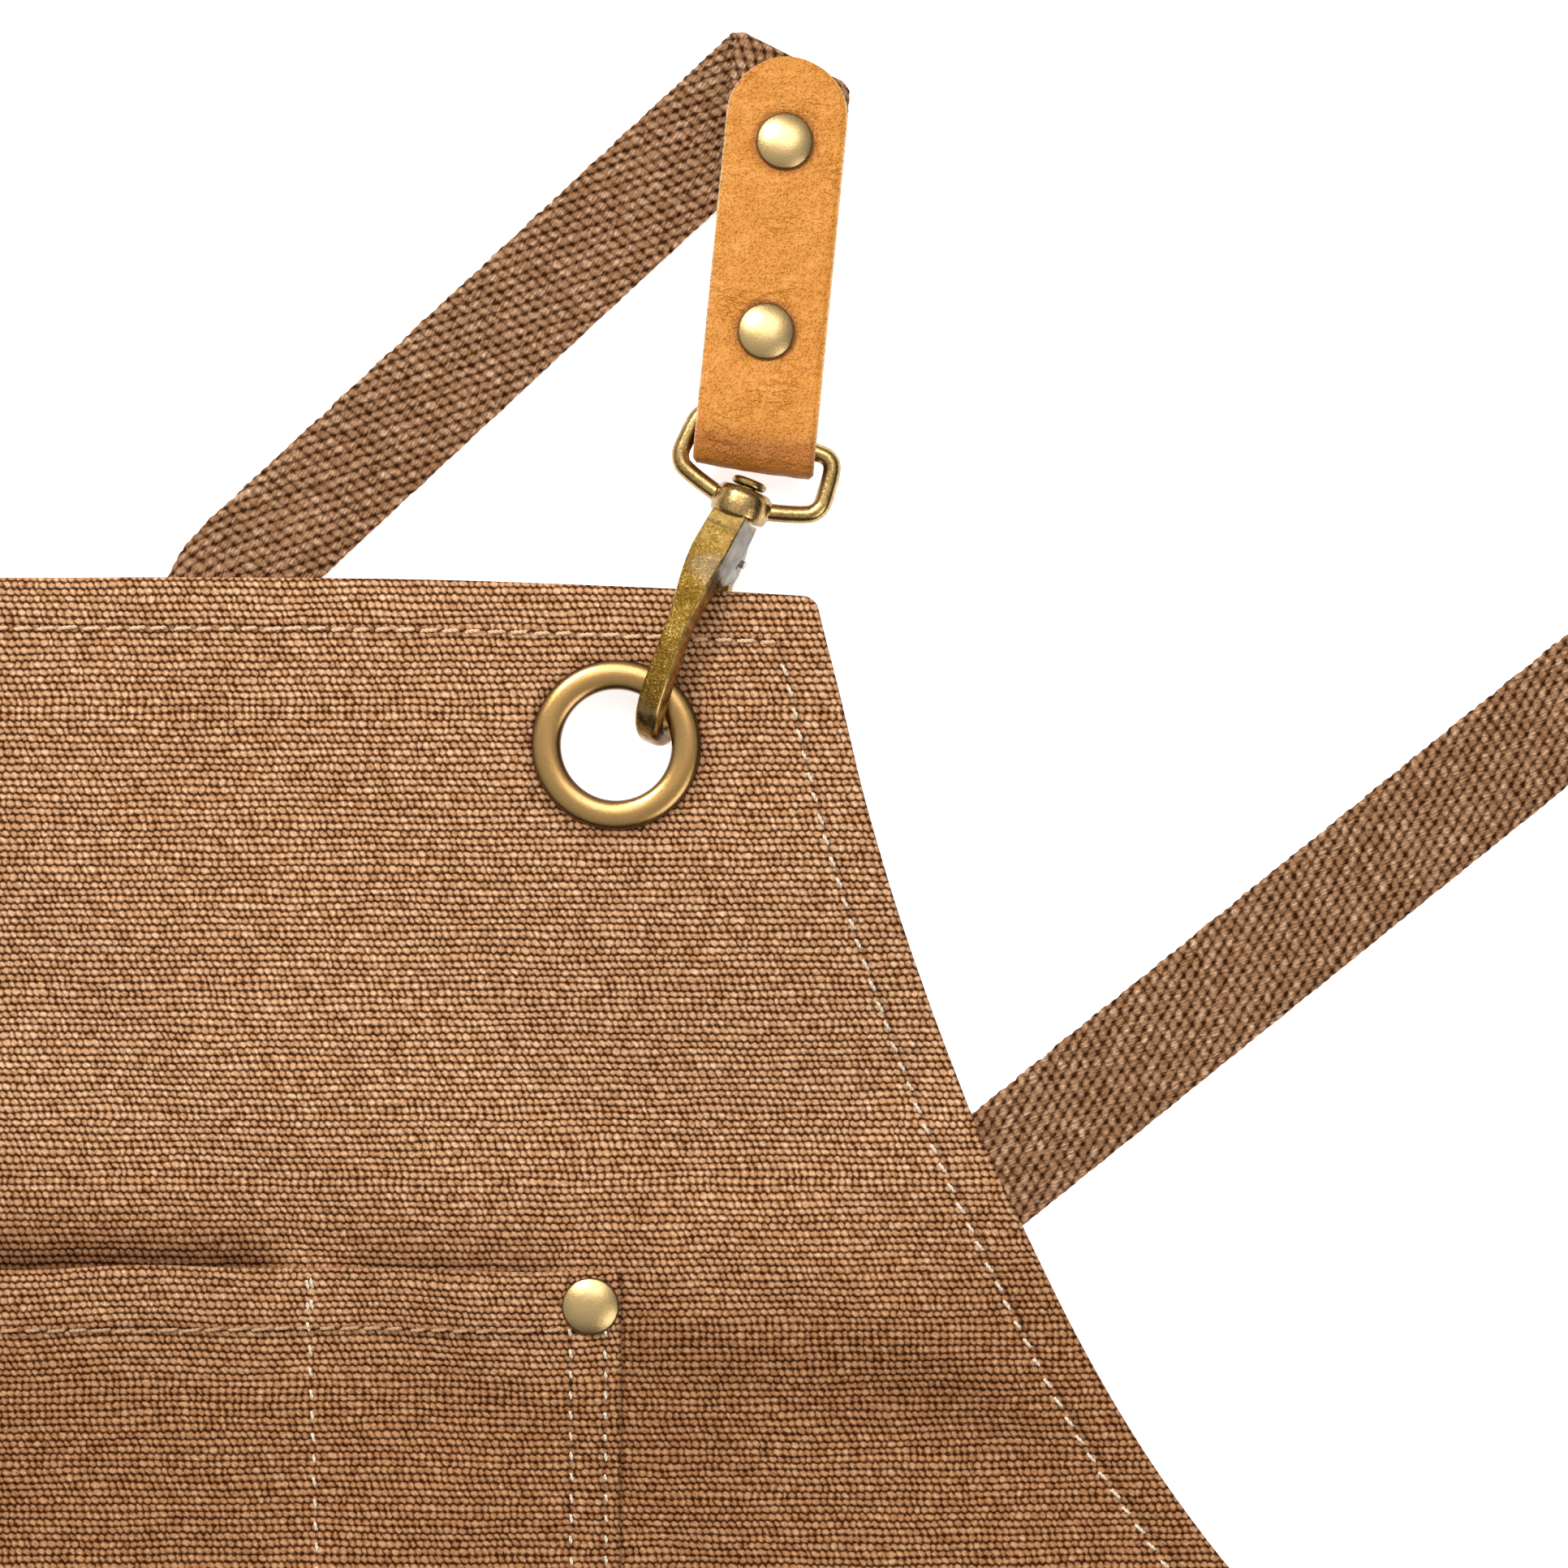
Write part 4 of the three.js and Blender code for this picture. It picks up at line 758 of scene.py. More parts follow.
def panel():
    ys = list(-np.array(edge_steps(50))) + list(np.arange(-20.5, -300, -2.5)) + list(np.arange(-300, -782, -6.0)) + [-782, -786.4, -788.8, -789.5, -790, -790.5, -791.2, -793, -795, -797, -798.2, -799, -799.5, -800]
    ys = np.array(sorted(set(ys), reverse=True))
    n_in = 128
    inner = np.linspace(0, 1, n_in // 2 + 1)
    fine = np.array(edge_steps(50))
    W = half_width(ys)
    top = []; bot = []; uvs = []; shades = []
    for y0, w in zip(ys, W):
        half = np.concatenate([inner * (w - 20.5), (w - fine[::-1])])
        x = np.concatenate([-half[:0:-1], half])
        # the bib's top corners are slightly rounded
        fade = float(ease((y0 + 40) / 40))
        y = y0 + top_edge(x) * fade
        ds = w - np.abs(x)
        dt = np.full_like(x, -y0); db = np.full_like(x, y0 + 800)
        d = np.minimum(np.minimum(ds, dt), db)
        rc = 2.4
        corner = (ds < rc) & (dt < rc)
        cx, cy = rc - ds, rc - dt
        far = np.hypot(cx, cy)
        k = np.where(corner & (far > rc), rc / np.maximum(far, 1e-6), 1.0)
        x = np.where(corner, np.sign(x) * (w - rc + cx * k), x)
        y = np.where(corner, y - (-(rc - dt)) * 0 + (cy * k - cy), y)
        d = np.where(corner, rc - np.maximum(far * k, np.maximum(cx, cy)), d)
        d = np.maximum(d, 0)
        roll, front, back = hem_relief(d)
        z = drape(x, y)
        pk = 0.16 * bumps(x, y, 21, 7.5) * np.exp(-((d - 8.5) / 4.5) ** 2)      # puckers along the stitching
        relief = 0.10 * bumps(x, y, 5, 22) + 0.05 * bumps(x, y, 6, 9)
        mid = z + CLOTH * 0.5 + 0.4
        zt = z + CLOTH + 0.4 + front + pk + relief
        zb = np.maximum(z + 0.4 + back + relief * 0.5, 0.02)
        mid = (zt + zb) / 2
        zt = mid + (zt - mid) * roll; zb = mid + (zb - mid) * roll
        top.append(np.stack([x, y, zt], 1)); bot.append(np.stack([x, y, zb], 1))
        uvs.append(np.stack([x, y0 + np.zeros_like(x) + top_edge(x) * fade * 0.9], 1))
        # painted shade in the hem's stitch groove and along the rolled edge
        stitch_dark = 0.55 * np.exp(-((d - 9.9) / 0.55) ** 2)
        edge_dark = 0.35 * (1 - np.clip(d / 0.8, 0, 1))
        shades.append(np.maximum(stitch_dark, edge_dark))
    top, bot, uvs, shades = np.array(top), np.array(bot), np.array(uvs), np.array(shades)
    v, f = grid_slab(top, bot)
    uv = np.concatenate([uvs.reshape(-1, 2)] * 2)
    ob = new_object("canvas_panel", v, outward(v, f), CANVAS, uv)
    sh = np.concatenate([shades.ravel()] * 2)
    # painted shade round the hardware's contact and painted shadow under the pockets' mouths
    P = v
    for s in (-1, 1):
        dd = np.hypot(P[:, 0] - s * TOP_EYELET[0], P[:, 1] - TOP_EYELET[1])
        sh = np.maximum(sh, 0.55 * np.exp(-((dd - 17.6) / 1.6) ** 2) * (dd > 15))
    for x0, x1, yt in ((-92.0, 34.0, -138.3), (38.0, 92.0, -138.3), (-188.0, -6.0, -405.0), (6.0, 188.0, -405.0)):
        k = ease((P[:, 0] - x0) / 12) * ease((x1 - P[:, 0]) / 12) * np.clip(1 - (P[:, 1] - yt) / 15.0, 0, 1) ** 1.5 * (P[:, 1] > yt - 14)
        sh = np.maximum(sh, (0.78 if x0 != 38.0 else 0.45) * k)
    # painted shade along the soft folds
    for ax, ay, bx, by, wd, amt in ((84.0, -150.0, 188.0, -170.0, 9.0, 0.26), (96.0, -168.0, 130.0, -176.0, 11.0, 0.16), (-60.0, -66.0, 10.0, -78.0, 14.0, 0.07)):
        ux, uy = bx - ax, by - ay
        l2 = ux * ux + uy * uy
        tq = ((P[:, 0] - ax) * ux + (P[:, 1] - ay) * uy) / l2
        dq = ((P[:, 0] - ax) * uy - (P[:, 1] - ay) * ux) / math.sqrt(l2)
        sh = np.maximum(sh, amt * np.exp(-(dq / wd) ** 2) * ease((tq + 0.2) / 0.4) * ease((1.2 - tq) / 0.4))
    a = ob.data.attributes.new("shade", "FLOAT", "POINT")
    a.data.foreach_set("value", sh.astype(np.float32))
    # holes for the eyelets
    for s in (-1, 1):
        for ex, ey in (TOP_EYELET, WAIST_EYELET):
            cv, cf = lathe([[0, -30], [13.2, -30], [13.2, 60], [0, 60]], 48)
            cut = new_object("cut", cv + np.array([s * ex, ey, 0]), cf, CANVAS, smooth=False)
            m = ob.modifiers.new("hole", "BOOLEAN")
            m.operation = "DIFFERENCE"; m.solver = "FAST"; m.object = cut
            bpy.context.view_layer.objects.active = ob
            with bpy.context.temp_override(object=ob, active_object=ob, selected_objects=[ob]):
                bpy.ops.object.modifier_apply(modifier=m.name)
            bpy.data.objects.remove(cut)
    return ob


PANEL = panel()
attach(PANEL, "root"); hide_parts("apron_panel")


def panel_top(x, y):
    x = np.asarray(x, float); y = np.asarray(y, float)
    return drape(x, y) + CLOTH + 0.4 + 0.10 * bumps(x, y, 5, 22) + 0.05 * bumps(x, y, 6, 9)


# ------------------------------------------------------------------ pockets
CHEST = (-100.2, 100.2, -138.3, -268.0)
WAIST = (-200.0, 200.0, -405.0, -615.0)


def pocket_height(kind, x, y):
    """Gap between the panel and the pocket's cloth."""
    x = np.asarray(x, float); y = np.asarray(y, float)
    if kind == "chest":
        x0, x1, yt, yb = CHEST; seams = [35.8 + (-138 - y) * 0.028]
        depth = 4.6
    else:
        x0, x1, yt, yb = WAIST; seams = [0.0 * y]
        depth = 4.2
    up = ease((x - x0 - 9) / 30) * ease((x1 - 9 - x) / 30) * ease((y - yb - 8) / 50)
    for s in seams:
        up = up * ease((np.abs(x - s) - 1.0) / 26)
    if kind == "chest":
        up = up * np.where(x > 36, 0.25, 1.0)
    mouth = 0.45 + 0.55 * ease((y - yt + 60) / 60)
    corner = np.minimum(np.hypot(x - x0 - 6.3, y - yt + 7.7), np.hypot(x1 - 6.3 - x, y - yt + 7.7))
    return 0.2 + depth * up * mouth * ease((corner - 7) / 14)


def pocket(kind, name, node):
    x0, x1, yt, yb = CHEST if kind == "chest" else WAIST
    fine = np.array([0, 0.25, 0.6, 1.1, 1.8, 2.6, 3.4, 4.4, 5.6, 7, 8.6, 9.6, 10.5, 12])
    mid_n = 70 if kind == "chest" else 110
    xs = np.concatenate([x0 + fine, np.linspace(x0 + 14, x1 - 14, mid_n), (x1 - fine)[::-1]])
    ts = np.concatenate([yt - np.array([0, 0.25, 0.6, 1.1, 1.8, 3, 5, 7, 9, 11, 12.2, 12.8, 13.4, 14.4, 16, 18]), np.linspace(yt - 20.5, yb + 14, 44 if kind == "chest" else 60), (yb + fine)[::-1]])
    X, Y = np.meshgrid(xs, ts)
    ds = np.minimum(X - x0, x1 - X); dt = yt - Y; db = Y - yb
    d = np.maximum(np.minimum(np.minimum(ds, dt), db), 0)
    # the mouth's edge bows up a little between the seams, and the sides wander slightly
    Yw = Y + 0.6 * bumps(X, Y * 0, 31, 60) * ease((Y - yt + 60) / 60)
    Xw = X + 0.35 * bumps(X * 0, Y, 32, 55) * ease((np.abs(X) - abs(x1) + 40) / 40)
    gap = pocket_height(kind, X, Y)
    base = panel_top(Xw, Yw)
    hem = 1 - ease((dt - 12.4) / 1.8)
    side = 1 - ease((ds - 9.0) / 1.6)
    t = 1.3 + 0.75 * hem + 0.30 * np.maximum(side, 1 - ease((db - 9) / 1.6)) * (1 - hem)
    groove = 0.30 * np.exp(-((dt - 12.6) / 0.8) ** 2)
    for q in (3.2, 10.4):
        groove = np.maximum(groove, 0.32 * np.exp(-((ds - q) / 0.8) ** 2))
        groove = np.maximum(groove, 0.32 * np.exp(-((db - q) / 0.8) ** 2))
    pk = 0.14 * bumps(X, Y, 41, 7) * (np.exp(-((ds - 6.5) / 5) ** 2) + np.exp(-((db - 6.5) / 5) ** 2) + np.exp(-((dt - 10) / 4) ** 2))
    roll = np.sqrt(np.clip(1 - (1 - np.clip(d / 0.9, 0, 1)) ** 2, 0, 1))
    zb = base + gap
    zt = zb + t - groove + pk
    mid = (zt + zb) / 2
    zt = mid + (zt - mid) * roll; zb = mid + (zb - mid) * roll
    top = np.stack([Xw, Yw, zt], 2); bot = np.stack([Xw, Yw, zb], 2)
    v, f = grid_slab(top, bot)
    uv = np.concatenate([np.stack([X + 40.3, Y * 1.0 + 11.7], 2).reshape(-1, 2)] * 2)
    ob = new_object(name, v, outward(v, f), CANVAS, uv)
    # painted shade in the stitch grooves, under the hem's stitching and along the rolled edges
    sh = np.maximum(0.45 * np.exp(-((ds - 3.2) / 0.5) ** 2), 0.45 * np.exp(-((ds - 10.4) / 0.5) ** 2))
    sh = np.maximum(sh, 0.5 * np.exp(-((dt - 12.6) / 0.5) ** 2))
    sh = np.maximum(sh, 0.4 * (1 - np.clip(d / 0.8, 0, 1)))
    a = ob.data.attributes.new("shade", "FLOAT", "POINT")
    a.data.foreach_set("value", np.concatenate([sh.ravel()] * 2).astype(np.float32))
    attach(ob, "root"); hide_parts(node)
    return ob


def pocket_top(kind, x, y):
    x = np.asarray(x, float); y = np.asarray(y, float)
    yt = (CHEST if kind == "chest" else WAIST)[2]
    hem = 1 - ease((yt - y - 12.4) / 1.8)
    return panel_top(x, y) + pocket_height(kind, x, y) + 1.3 + 0.75 * hem


CHEST_OB = pocket("chest", "chest_pocket_cloth", "chest_pocket")
WAIST_OB = pocket("waist", "waist_pocket_cloth", "waist_pocket")

# ------------------------------------------------------------------ stitching
def stitches(name, line, z_of, pitch, mat, width=0.36, length=0.86, seed=1, skip=(), slant=0.2):
    """Runs of twisted thread laid on the cloth along a line, dipping into it at both ends."""
    line = np.asarray(line, float)
    seg = np.hypot(*np.diff(line, axis=0).T)
    s = np.concatenate([[0], np.cumsum(seg)])
    n = max(1, int(round(s[-1] / pitch)))
    r = np.random.RandomState(seed)
    V, F = [], []
    sides, steps = 6, 11
    for k in range(n):
        if k in skip:
            continue
        run = length * r.uniform(0.86, 1.12)
        a = (k + (1 - run) / 2 + r.uniform(-0.05, 0.05)) * s[-1] / n
        b = a + run * s[-1] / n
        t = np.linspace(a, b, steps)
        x = np.interp(t, s, line[:, 0]); y = np.interp(t, s, line[:, 1])
        # each stitch is set slightly askew to the line
        dx, dy = x[-1] - x[0], y[-1] - y[0]
        l = math.hypot(dx, dy)
        nx, ny = -dy / l, dx / l
        off = np.linspace(-slant, slant, steps) + r.uniform(-0.12, 0.12)
        x = x + nx * off; y = y + ny * off
        q = np.linspace(-1, 1, steps)
        z = z_of(x, y) + 0.22 - 0.75 * np.abs(q) ** 3.2
        start = r.uniform(0, 6.28)
        for ply in (0.0, math.pi):          # two plies laid round each other
            th = start + ply + (t - a) * 3.3
            px = x + nx * np.cos(th) * width * 0.5
            py = y + ny * np.cos(th) * width * 0.5
            pz = z + np.sin(th) * width * 0.42
            rad = width * 0.66 * (1 - 0.35 * np.abs(q) ** 4)
            v, f = tube(np.stack([px, py, pz], 1), rad, sides)
            base = len(V)
            V += v.tolist(); F += [[i + base for i in face] for face in f]
    return new_object(name, V, F, mat)


def edge_line(offset, y0, y1, side):
    """Points on the panel a set distance in from its side edge."""
    y = np.linspace(y0, y1, 400)
    w = half_width(y)
    dw = np.gradient(w, y)
    n = np.sqrt(1 + dw * dw)
    x = w - offset / n
    yy = y + offset * dw / n
    return np.stack([side * x, yy], 1)


def hem_z(x, y):
    return panel_top(x, y) + 0.10


def add_stitch(name, line, z_of, mat, slot="canvas", **kw):
    o = stitches(name, line, z_of, mat=mat, **kw)
    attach(o, "root")
    return o


xs = np.linspace(-133.0, 133.0, 300)
add_stitch("top_hem_stitching", np.stack([xs, -9.9 + top_edge(xs) * ease((-9.9 + 40) / 40) ], 1), hem_z, PEACH, pitch=4.67, width=0.44, length=0.84, slant=0.18, seed=2)
for side, tag in ((1, "R"), (-1, "L")):
    add_stitch(f"armhole_stitching_{tag}", edge_line(9.9, -10.5, -282, side), hem_z, CREAM, pitch=4.5, width=0.37, length=0.60, slant=0.28, seed=3 + side)
    add_stitch(f"side_hem_stitching_{tag}", [[side * 335.1, -292], [side * 335.1, -789]], hem_z, CREAM, pitch=4.5, width=0.37, length=0.60, slant=0.28, seed=6 + side)
add_stitch("bottom_hem_stitching", [[-335, -790.1], [335, -790.1]], hem_z, PEACH, pitch=4.67, width=0.44, length=0.84, slant=0.18, seed=9)


def pocket_z(kind):
    return lambda x, y: pocket_top(kind, x, y) - 0.05


for kind, (x0, x1, yt, yb) in (("chest", CHEST), ("waist", WAIST)):
    z = pocket_z(kind)
    # the pockets' hem stitching uses the peach thread in painted shade
    add_stitch(f"{kind}_pocket_hem_stitching", [[x0 + 12, yt - 12.6], [x1 - 12, yt - 12.6]], z, PEACH_IN_PAINTED_SHADE, pitch=4.67, width=0.38, length=0.80, slant=0.18, seed=12)
    for q, tag in ((3.2, "outer"), (10.4, "inner")):
        path = [[x0 + q, yt - 2.5], [x0 + q, yb + q], [x1 - q, yb + q], [x1 - q, yt - 2.5]]
        dense = []
        for a, b in zip(path[:-1], path[1:]):
            m = max(2, int(math.hypot(b[0] - a[0], b[1] - a[1]) / 2))
            dense += [[a[0] + (b[0] - a[0]) * k / m, a[1] + (b[1] - a[1]) * k / m] for k in range(m)]
        dense.append(path[-1])
        add_stitch(f"{kind}_pocket_{tag}_stitching", dense, z, CREAM, pitch=4.3, width=0.34, length=0.42, slant=0.18, seed=14)
yl = np.linspace(-139.5, -258, 120)
add_stitch("pen_divider_stitching", np.stack([35.0 + (-138 - yl) * 0.036, yl], 1), pocket_z("chest"), CREAM, pitch=4.5, width=0.34, length=0.5, seed=20)
add_stitch("pen_divider_backtack", np.stack([35.9 + (-138 - yl[:10]) * 0.036, yl[:10]], 1), pocket_z("chest"), CREAM, pitch=3.9, width=0.34, length=0.6, seed=21)
add_stitch("waist_pocket_divider_stitching", [[0, -407], [0, -604]], pocket_z("waist"), CREAM, pitch=4.5, width=0.34, length=0.5, seed=22)

# ------------------------------------------------------------------ eyelets and rivets
def eyelet(name, s, centre, z, nodes):
    H, R = 11.35, 17.5
    a = np.linspace(0, math.pi, 30)
    mid, half = (H + R) / 2, (R - H) / 2
    top = z + CLOTH + 0.25
    dome = np.stack([mid + half * np.cos(a), top + 1.72 * np.sin(a) ** 0.85], 1)         # from the outer edge over to the hole
    barrel = [[H, top - 0.4], [H + 0.05, z + 0.5], [H + 0.15, z - 0.2], [H + 0.7, z - 1.0], [H + 1.7, z - 1.35], [13.1, z - 1.1], [13.1, z - 0.2], [13.0, top - 0.25], [R - 0.8, top - 0.25]]
    v, f = lathe(np.vstack([dome, barrel]), 128)
    ob = new_object(name, v + np.array([s * centre[0], centre[1], 0]), f, EYELET)
    # rim mask by steepness for the painted reflection and shade on the eyelet's flanks
    set_attr(ob, "rim", ease((0.965 - vertex_normals(ob)[:, 2]) / 0.66))
    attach(ob, "root"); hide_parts(nodes[0])
    wv, wf = lathe(round_profile([[13.4, z - 0.15], [R - 0.5, z - 0.15], [R - 0.4, z - 0.6], [R - 1.6, z - 1.15], [14.2, z - 1.35], [13.4, z - 1.0]], radius=0.3), 96)
    wo = new_object(name + "_washer", wv + np.array([s * centre[0], centre[1], 0]), wf, EYELET)
    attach(wo, "root"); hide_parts(nodes[1])


for s, tag in ((1, "R"), (-1, "L")):
    eyelet(f"bib_eyelet_{tag}", s, TOP_EYELET, EYELET_Z + 0.02, (f"top_eyelet_{tag}_grommet", f"top_eyelet_{tag}_washer"))
    eyelet(f"corner_eyelet_{tag}", s, WAIST_EYELET, WAIST_Z + 0.05, (f"waist_eyelet_{tag}_grommet", f"waist_eyelet_{tag}_washer"))


def cap_profile(r=5.95, h=1.75):
    """Low dome with a turned-down rim."""
    k = np.linspace(0, 1, 20)
    dome = np.stack([r * 0.965 * (1 - k), 0.55 + (h - 0.55) * (1 - (1 - k) ** 2.3)], 1)[1:]
    rim = np.array([[r * 0.7, -0.35], [r * 0.95, -0.3], [r, 0.0], [r * 0.998, 0.3], [r * 0.965, 0.55]])
    return np.vstack([[[0, -0.35]], rim, dome])


def rivet(name, x, y, z, tilt, body, node, M=None, mat=None):
    v, f = lathe(cap_profile(), 72)
    v = place(v, frame_matrix((x, y, z), (1, 0, -tilt[0]), (0, 1, -tilt[1]), (tilt[0], tilt[1], 1)))
    if M is not None:
        v = place(v, M)
    ob = new_object(name, v, f, RIVET)
    # rim mask by steepness for the painted reflection and shade round the cap's edge
    set_attr(ob, "rim", ease((0.97 - vertex_normals(ob)[:, 2]) / 0.34))
    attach(ob, body)
    if node:
        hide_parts(node)
    return ob


for kind, (x0, x1, yt, yb), rx in (("chest", CHEST, 93.9), ("waist", WAIST, 193.5)):
    for s, tag in ((1, "R"), (-1, "L")):
        y = yt - 7.6
        zz = float(np.max(pocket_top(kind, s * rx + np.array([-5, 5, 0, 0, 0]), y + np.array([0, 0, -5, 5, 0]))))
        rivet(f"{kind}_pocket_cap_rivet_{tag}", s * rx, y, zz - 0.05, (0, 0), "root", f"{kind}_pocket_rivet_{tag}_cap")

# ------------------------------------------------------------------ leather tabs
def leather_tab(s, tag):
    """One strip folded round the loop's bar. Stations run from the back layer's end, round the fold, to the front layer's end."""
    T = 2.0
    line = []
    for u in np.linspace(66, 18, 18):
        line.append((u, -1.0 - T / 2 - 0.15))
    line += [(14, -2.5), (10.5, -3.1), (7, -3.35), (3, -3.4), (-0.5, -3.35)]
    for a in np.linspace(-90, 90, 13)[1:-1]:
        line.append((-3.2 - 3.35 * math.cos(math.radians(a)), 3.35 * math.sin(math.radians(a))))
    line += [(-0.5, 3.35), (3, 3.4), (7, 3.35), (10.5, 3.1), (14, 2.5)]
    for u in np.concatenate([np.linspace(18, 66, 34), 66 + 12.2 * np.sin(np.linspace(0.06, math.pi / 2 - 0.02, 22))]):
        line.append((u, 1.0 + T / 2 + 0.15))
    line = smooth_line(line, 2)
    tang = np.gradient(line, axis=0); tang /= np.linalg.norm(tang, axis=1)[:, None]
    arc = np.concatenate([[0], np.cumsum(np.hypot(*np.diff(line, axis=0).T))])
    rings, uvs, edges, shades = [], [], [], []
    W = 12.5
    for i, ((u, n), (tu, tn)) in enumerate(zip(line, tang)):
        front = n > 0 or tn > 0.2
        nu, nn = -tn, tu             # outward normal of the strip's own surface, away from the fold's inside
        if i < len(line) / 2:
            pass
        w = W
        if front and u > 66:
            w = W * math.sqrt(max(0.0006, 1 - ((u - 66) / 12.25) ** 2))
        if not front and u > 58:
            w = W * math.sqrt(max(0.01, 1 - ((u - 58) / 8.3) ** 2))
        # section: rectangle with rounded corners, slightly crowned
        m = 30
        half_t = T / 2 * (1 if w > 1.2 else max(0.15, w / 1.2))
        xs = np.concatenate([np.linspace(-w, w, m), np.linspace(w, -w, m)])
        sg = np.concatenate([np.ones(m), -np.ones(m)])
        de = w - np.abs(xs)
        prof = half_t * np.clip(1 - (1 - np.clip(de / 0.75, 0, 1)) ** 2.4, 0, 1) ** 0.5
        dimple = 0
        if front:
            for ru in (21.0, 60.5):
                dd = np.hypot(xs, u - ru)
                dimple = dimple - 0.34 * np.exp(-((dd - 3.0) / 4.4) ** 2)
            dimple = dimple * (sg > 0)
        wave = 0.16 * bumps(xs * 1.0, np.full_like(xs, arc[i]), 51, 16) + 0.05 * bumps(xs, np.full_like(xs, arc[i]), 52, 5)
        off = prof * sg + np.where(sg > 0, dimple, 0) + wave * (prof / max(half_t, 1e-3))
        # sign of the outward side: for this travel direction the outer side is to the left or right
        ou, on = tn, -tu
        if (u - 20) * ou * 0 + (n * on) < 0 and abs(n) > 1.5:
            ou, on = -ou, -on
        elif abs(n) <= 1.5 and ou > 0:
            ou, on = -ou, -on
        skew = 0.0
        uu = u + ou * off; nn2 = n + on * off
        low = ease((6 - u) / 14)
        uu = uu - low * 0.045 * xs * 1.3                    # the fold runs slightly askew
        rings.append(np.stack([xs, uu, nn2], 1))
        uvs.append(np.stack([xs, np.full_like(xs, arc[i])], 1))
        edges.append(np.clip(1 - de / 0.55, 0, 1))
        # painted shade: darker at the fold's crease and over the whole back layer, and in a ring round each rivet cap
        crease = 0.55 * np.exp(-((u + 3.5) / 3.5) ** 2) if front else 0.3
        near = 0
        if front:
            for ru in (21.0, 60.5):
                near = np.maximum(near, 0.5 * np.exp(-((np.hypot(xs, u - ru) - 6.1) / 0.8) ** 2))
        shades.append(np.maximum(np.full_like(xs, crease), near))
    rings = np.array(rings)
    v, f = loft_rings(rings)
    # strip section ends are plain caps; their polygons are long, so they are turned into fans by a centre point
    f = [q for q in f if len(q) <= 4]
    M = rings.shape[1]
    v = np.vstack([v, rings[0].mean(0), rings[-1].mean(0)])
    a, b = len(v) - 2, len(v) - 1
    last = (len(rings) - 1) * M
    f += [[a, (j + 1) % M, j] for j in range(M)] + [[b, last + j, last + (j + 1) % M] for j in range(M)]
    uv = np.vstack([np.array(uvs).reshape(-1, 2), [0, 0], [0, arc[-1]]])
    ed = np.concatenate([np.array(edges).ravel(), [1, 1]]); sh = np.concatenate([np.array(shades).ravel(), [0, 0]])
    world = TAB_ORIGIN + v[:, :1] * TAB_A + v[:, 1:2] * TAB_U + v[:, 2:3] * TAB_N
    world, f = mirrored(world, f, s)
    ob = new_object(f"leather_tab_strip_{tag}", world, outward(world, f), LEATHER, uv)
    for nm, val in (("edge", ed), ("shade", sh)):
        at = ob.data.attributes.new(nm, "FLOAT", "POINT"); at.data.foreach_set("value", val.astype(np.float32))
    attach(ob, f"tab_{tag}"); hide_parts(f"leather_tab_{tag}")
    Mt = frame_matrix(TAB_ORIGIN, TAB_A, TAB_U, TAB_N)
    for u, k in ((21.0, "lower"), (60.5, "upper")):
        v2, f2 = lathe(cap_profile(5.9, 1.8), 72)
        v2 = place(v2 + np.array([0, u, 3.15 + 0.25]), Mt)
        v2, f2 = mirrored(v2, f2, s)
        o = new_object(f"tab_cap_rivet_{k}_{tag}", v2, f2, RIVET)
        # rim mask by steepness for the painted reflection and shade round the cap's edge
        set_attr(o, "rim", ease((0.97 - vertex_normals(o)[:, 2]) / 0.34))
        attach(o, f"tab_{tag}")
        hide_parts(f"tab_rivet_{k}_{tag}_cap")
        v3, f3 = lathe(round_profile([[0.001, -4.05], [4.4, -4.05], [4.6, -3.6], [4.4, -3.3], [1.3, -3.3], [1.3, 3.0], [0.001, 3.0]], closed=False, radius=0.25), 48)
        v3 = place(v3 + np.array([0, u, 0]), Mt)
        v3, f3 = mirrored(v3, f3, s)
        o = new_object(f"tab_rivet_foot_{k}_{tag}", v3, f3, RIVET)
        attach(o, f"tab_{tag}")
        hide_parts(f"tab_rivet_{k}_{tag}_post")
    return ob


